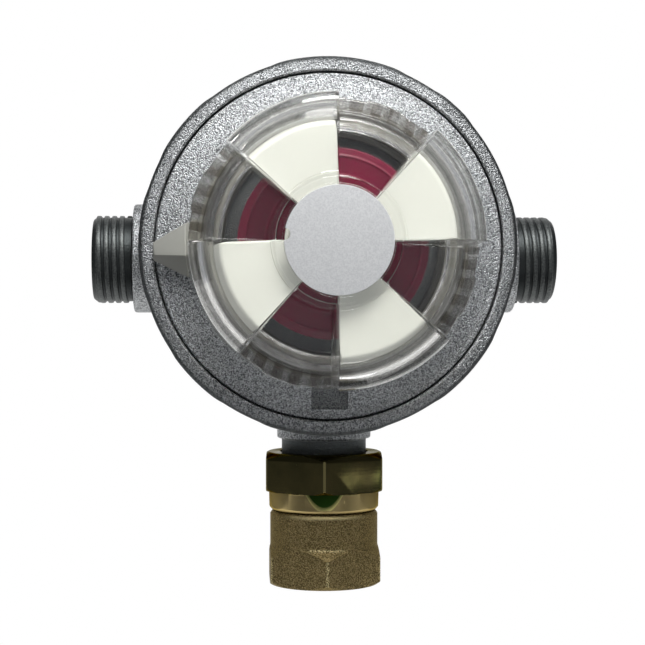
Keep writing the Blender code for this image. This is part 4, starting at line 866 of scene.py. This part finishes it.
def studio():
    """Pale air, brighter through the clear knob, five lamps and the photo's camera."""
    world = bpy.data.worlds.new("studio")
    bpy.context.scene.world = world
    world.use_nodes = True
    world.node_tree.nodes["Background"].inputs["Color"].default_value = (0.9, 0.93, 1.0, 1)
    air = world.node_tree.nodes["Background"].inputs["Strength"]
    path = world.node_tree.nodes.new("ShaderNodeLightPath")
    share = world.node_tree.nodes.new("ShaderNodeMath")
    share.operation = "MULTIPLY_ADD"
    share.inputs[1].default_value = 0.4
    share.inputs[2].default_value = 0.1
    world.node_tree.links.new(path.outputs["Is Transmission Ray"], share.inputs[0])
    world.node_tree.links.new(share.outputs[0], air)
    lamp("overhead", (0.09, -0.56, 0.8), (0, -0.04, 0), 0.45, 9.1)
    lamp("right", (0.5, -0.4, 0.78), (0, -0.04, 0), 0.1, 0.9)
    lamp("left", (-0.6, -0.4, 0.66), (0, -0.04, 0), 0.1, 1.1)
    lamp("low_right", (0.78, -0.45, -0.16), (0, -0.02, -0.05), 0.12, 0.09)
    lamp("low_front", (0.1, -0.85, -0.36), (0, -0.02, -0.06), 0.12, 0.35)
    place = Vector((-0.02409, -0.40535, -0.01471))
    bpy.ops.object.select_all(action="DESELECT")
    bpy.ops.object.camera_add(location=place)
    camera = bpy.context.object
    camera.data.lens = 88.86
    camera.data.sensor_width = 36
    camera.data.clip_start = 0.01
    looks = Vector((0.06157, 0.9981, -0.00768))
    camera.rotation_euler = looks.to_track_quat("-Z", "Y").to_euler()
    bpy.context.scene.camera = camera
    bpy.context.scene.view_settings.view_transform = "Standard"


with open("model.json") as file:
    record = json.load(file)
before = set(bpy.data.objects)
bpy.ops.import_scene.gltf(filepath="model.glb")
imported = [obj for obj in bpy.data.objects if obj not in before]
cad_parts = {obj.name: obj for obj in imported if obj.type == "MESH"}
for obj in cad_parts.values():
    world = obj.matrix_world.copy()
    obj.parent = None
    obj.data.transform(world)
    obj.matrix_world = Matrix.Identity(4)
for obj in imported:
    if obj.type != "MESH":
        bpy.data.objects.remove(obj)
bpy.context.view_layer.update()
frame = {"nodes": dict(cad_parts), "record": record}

silver = cast_metal("silver_casting", (0.13, 0.135, 0.14), (0.86, 0.88, 0.89), 0.11, 0.37)
steel_thread = thread_steel()
clear = clear_plastic()
white = moulded("white_plastic", (0.82, 0.83, 0.77), (0.78, 0.79, 0.73), 0.4)
crimson = moulded("crimson_plastic", (0.22, 0.005, 0.038), (0.17, 0.004, 0.03), 0.3)
grey = moulded("grey_plastic", (0.33, 0.33, 0.3), (0.37, 0.37, 0.335), 0.5, shade=28.0)
film = silver_film()
bright_brass = turned_brass()
dull_brass = forged_brass()

dressed(body_shell(), silver, "body", "die_cast", "main_body")
dressed(bonnet_cover(), silver, "body", "die_cast", "bonnet")
for side, hand in ((-1, "left"), (1, "right")):
    dressed(inlet_nipple(side, f"{hand}_threaded_nipple"), steel_thread, "body", "nipple_steel",
            f"{hand}_inlet_nipple")
dressed(knob_shell(), clear, "knob", "clear_plastic", "knob_cover")
dressed(white_star(), white, "knob", "white_plastic", "white_insert")
dressed(label_disc(), film, "knob", "label_silver", "label_plate")
dressed(arrow_ring(), grey, "knob", "grey_plastic", "pointer_ring")
dressed(red_ring(), crimson, "diaphragm_group", "red_plastic", "indicator_ring")
dressed(union_nut(), bright_brass, "body", "polished_brass", "union_nut")
dressed(coupling(), dull_brass, "body", "forged_brass", "outlet_coupling")

plated = hidden_metal("plated_steel", (0.55, 0.56, 0.58), 0.3)
machined = hidden_metal("machined_brass", (0.6, 0.46, 0.2), 0.28)
porous = hidden_metal("sintered_bronze", (0.4, 0.27, 0.13), 0.7)
rubber = black_rubber("black_rubber", (0.03, 0.03, 0.03))
fibre = black_rubber("gasket_fibre", (0.08, 0.13, 0.1))
INSIDE = {"steel": plated, "polished_brass": machined, "sintered_bronze": porous, "rubber": rubber,
          "gasket": fibre}
slots = {row["node"]: row["material_slot"] for row in frame["record"]["subparts"]}
for name, node in frame["nodes"].items():
    if slots[name] in INSIDE and not node.hide_render:
        node.data.materials.clear()
        node.data.materials.append(INSIDE[slots[name]])

stage()
studio()
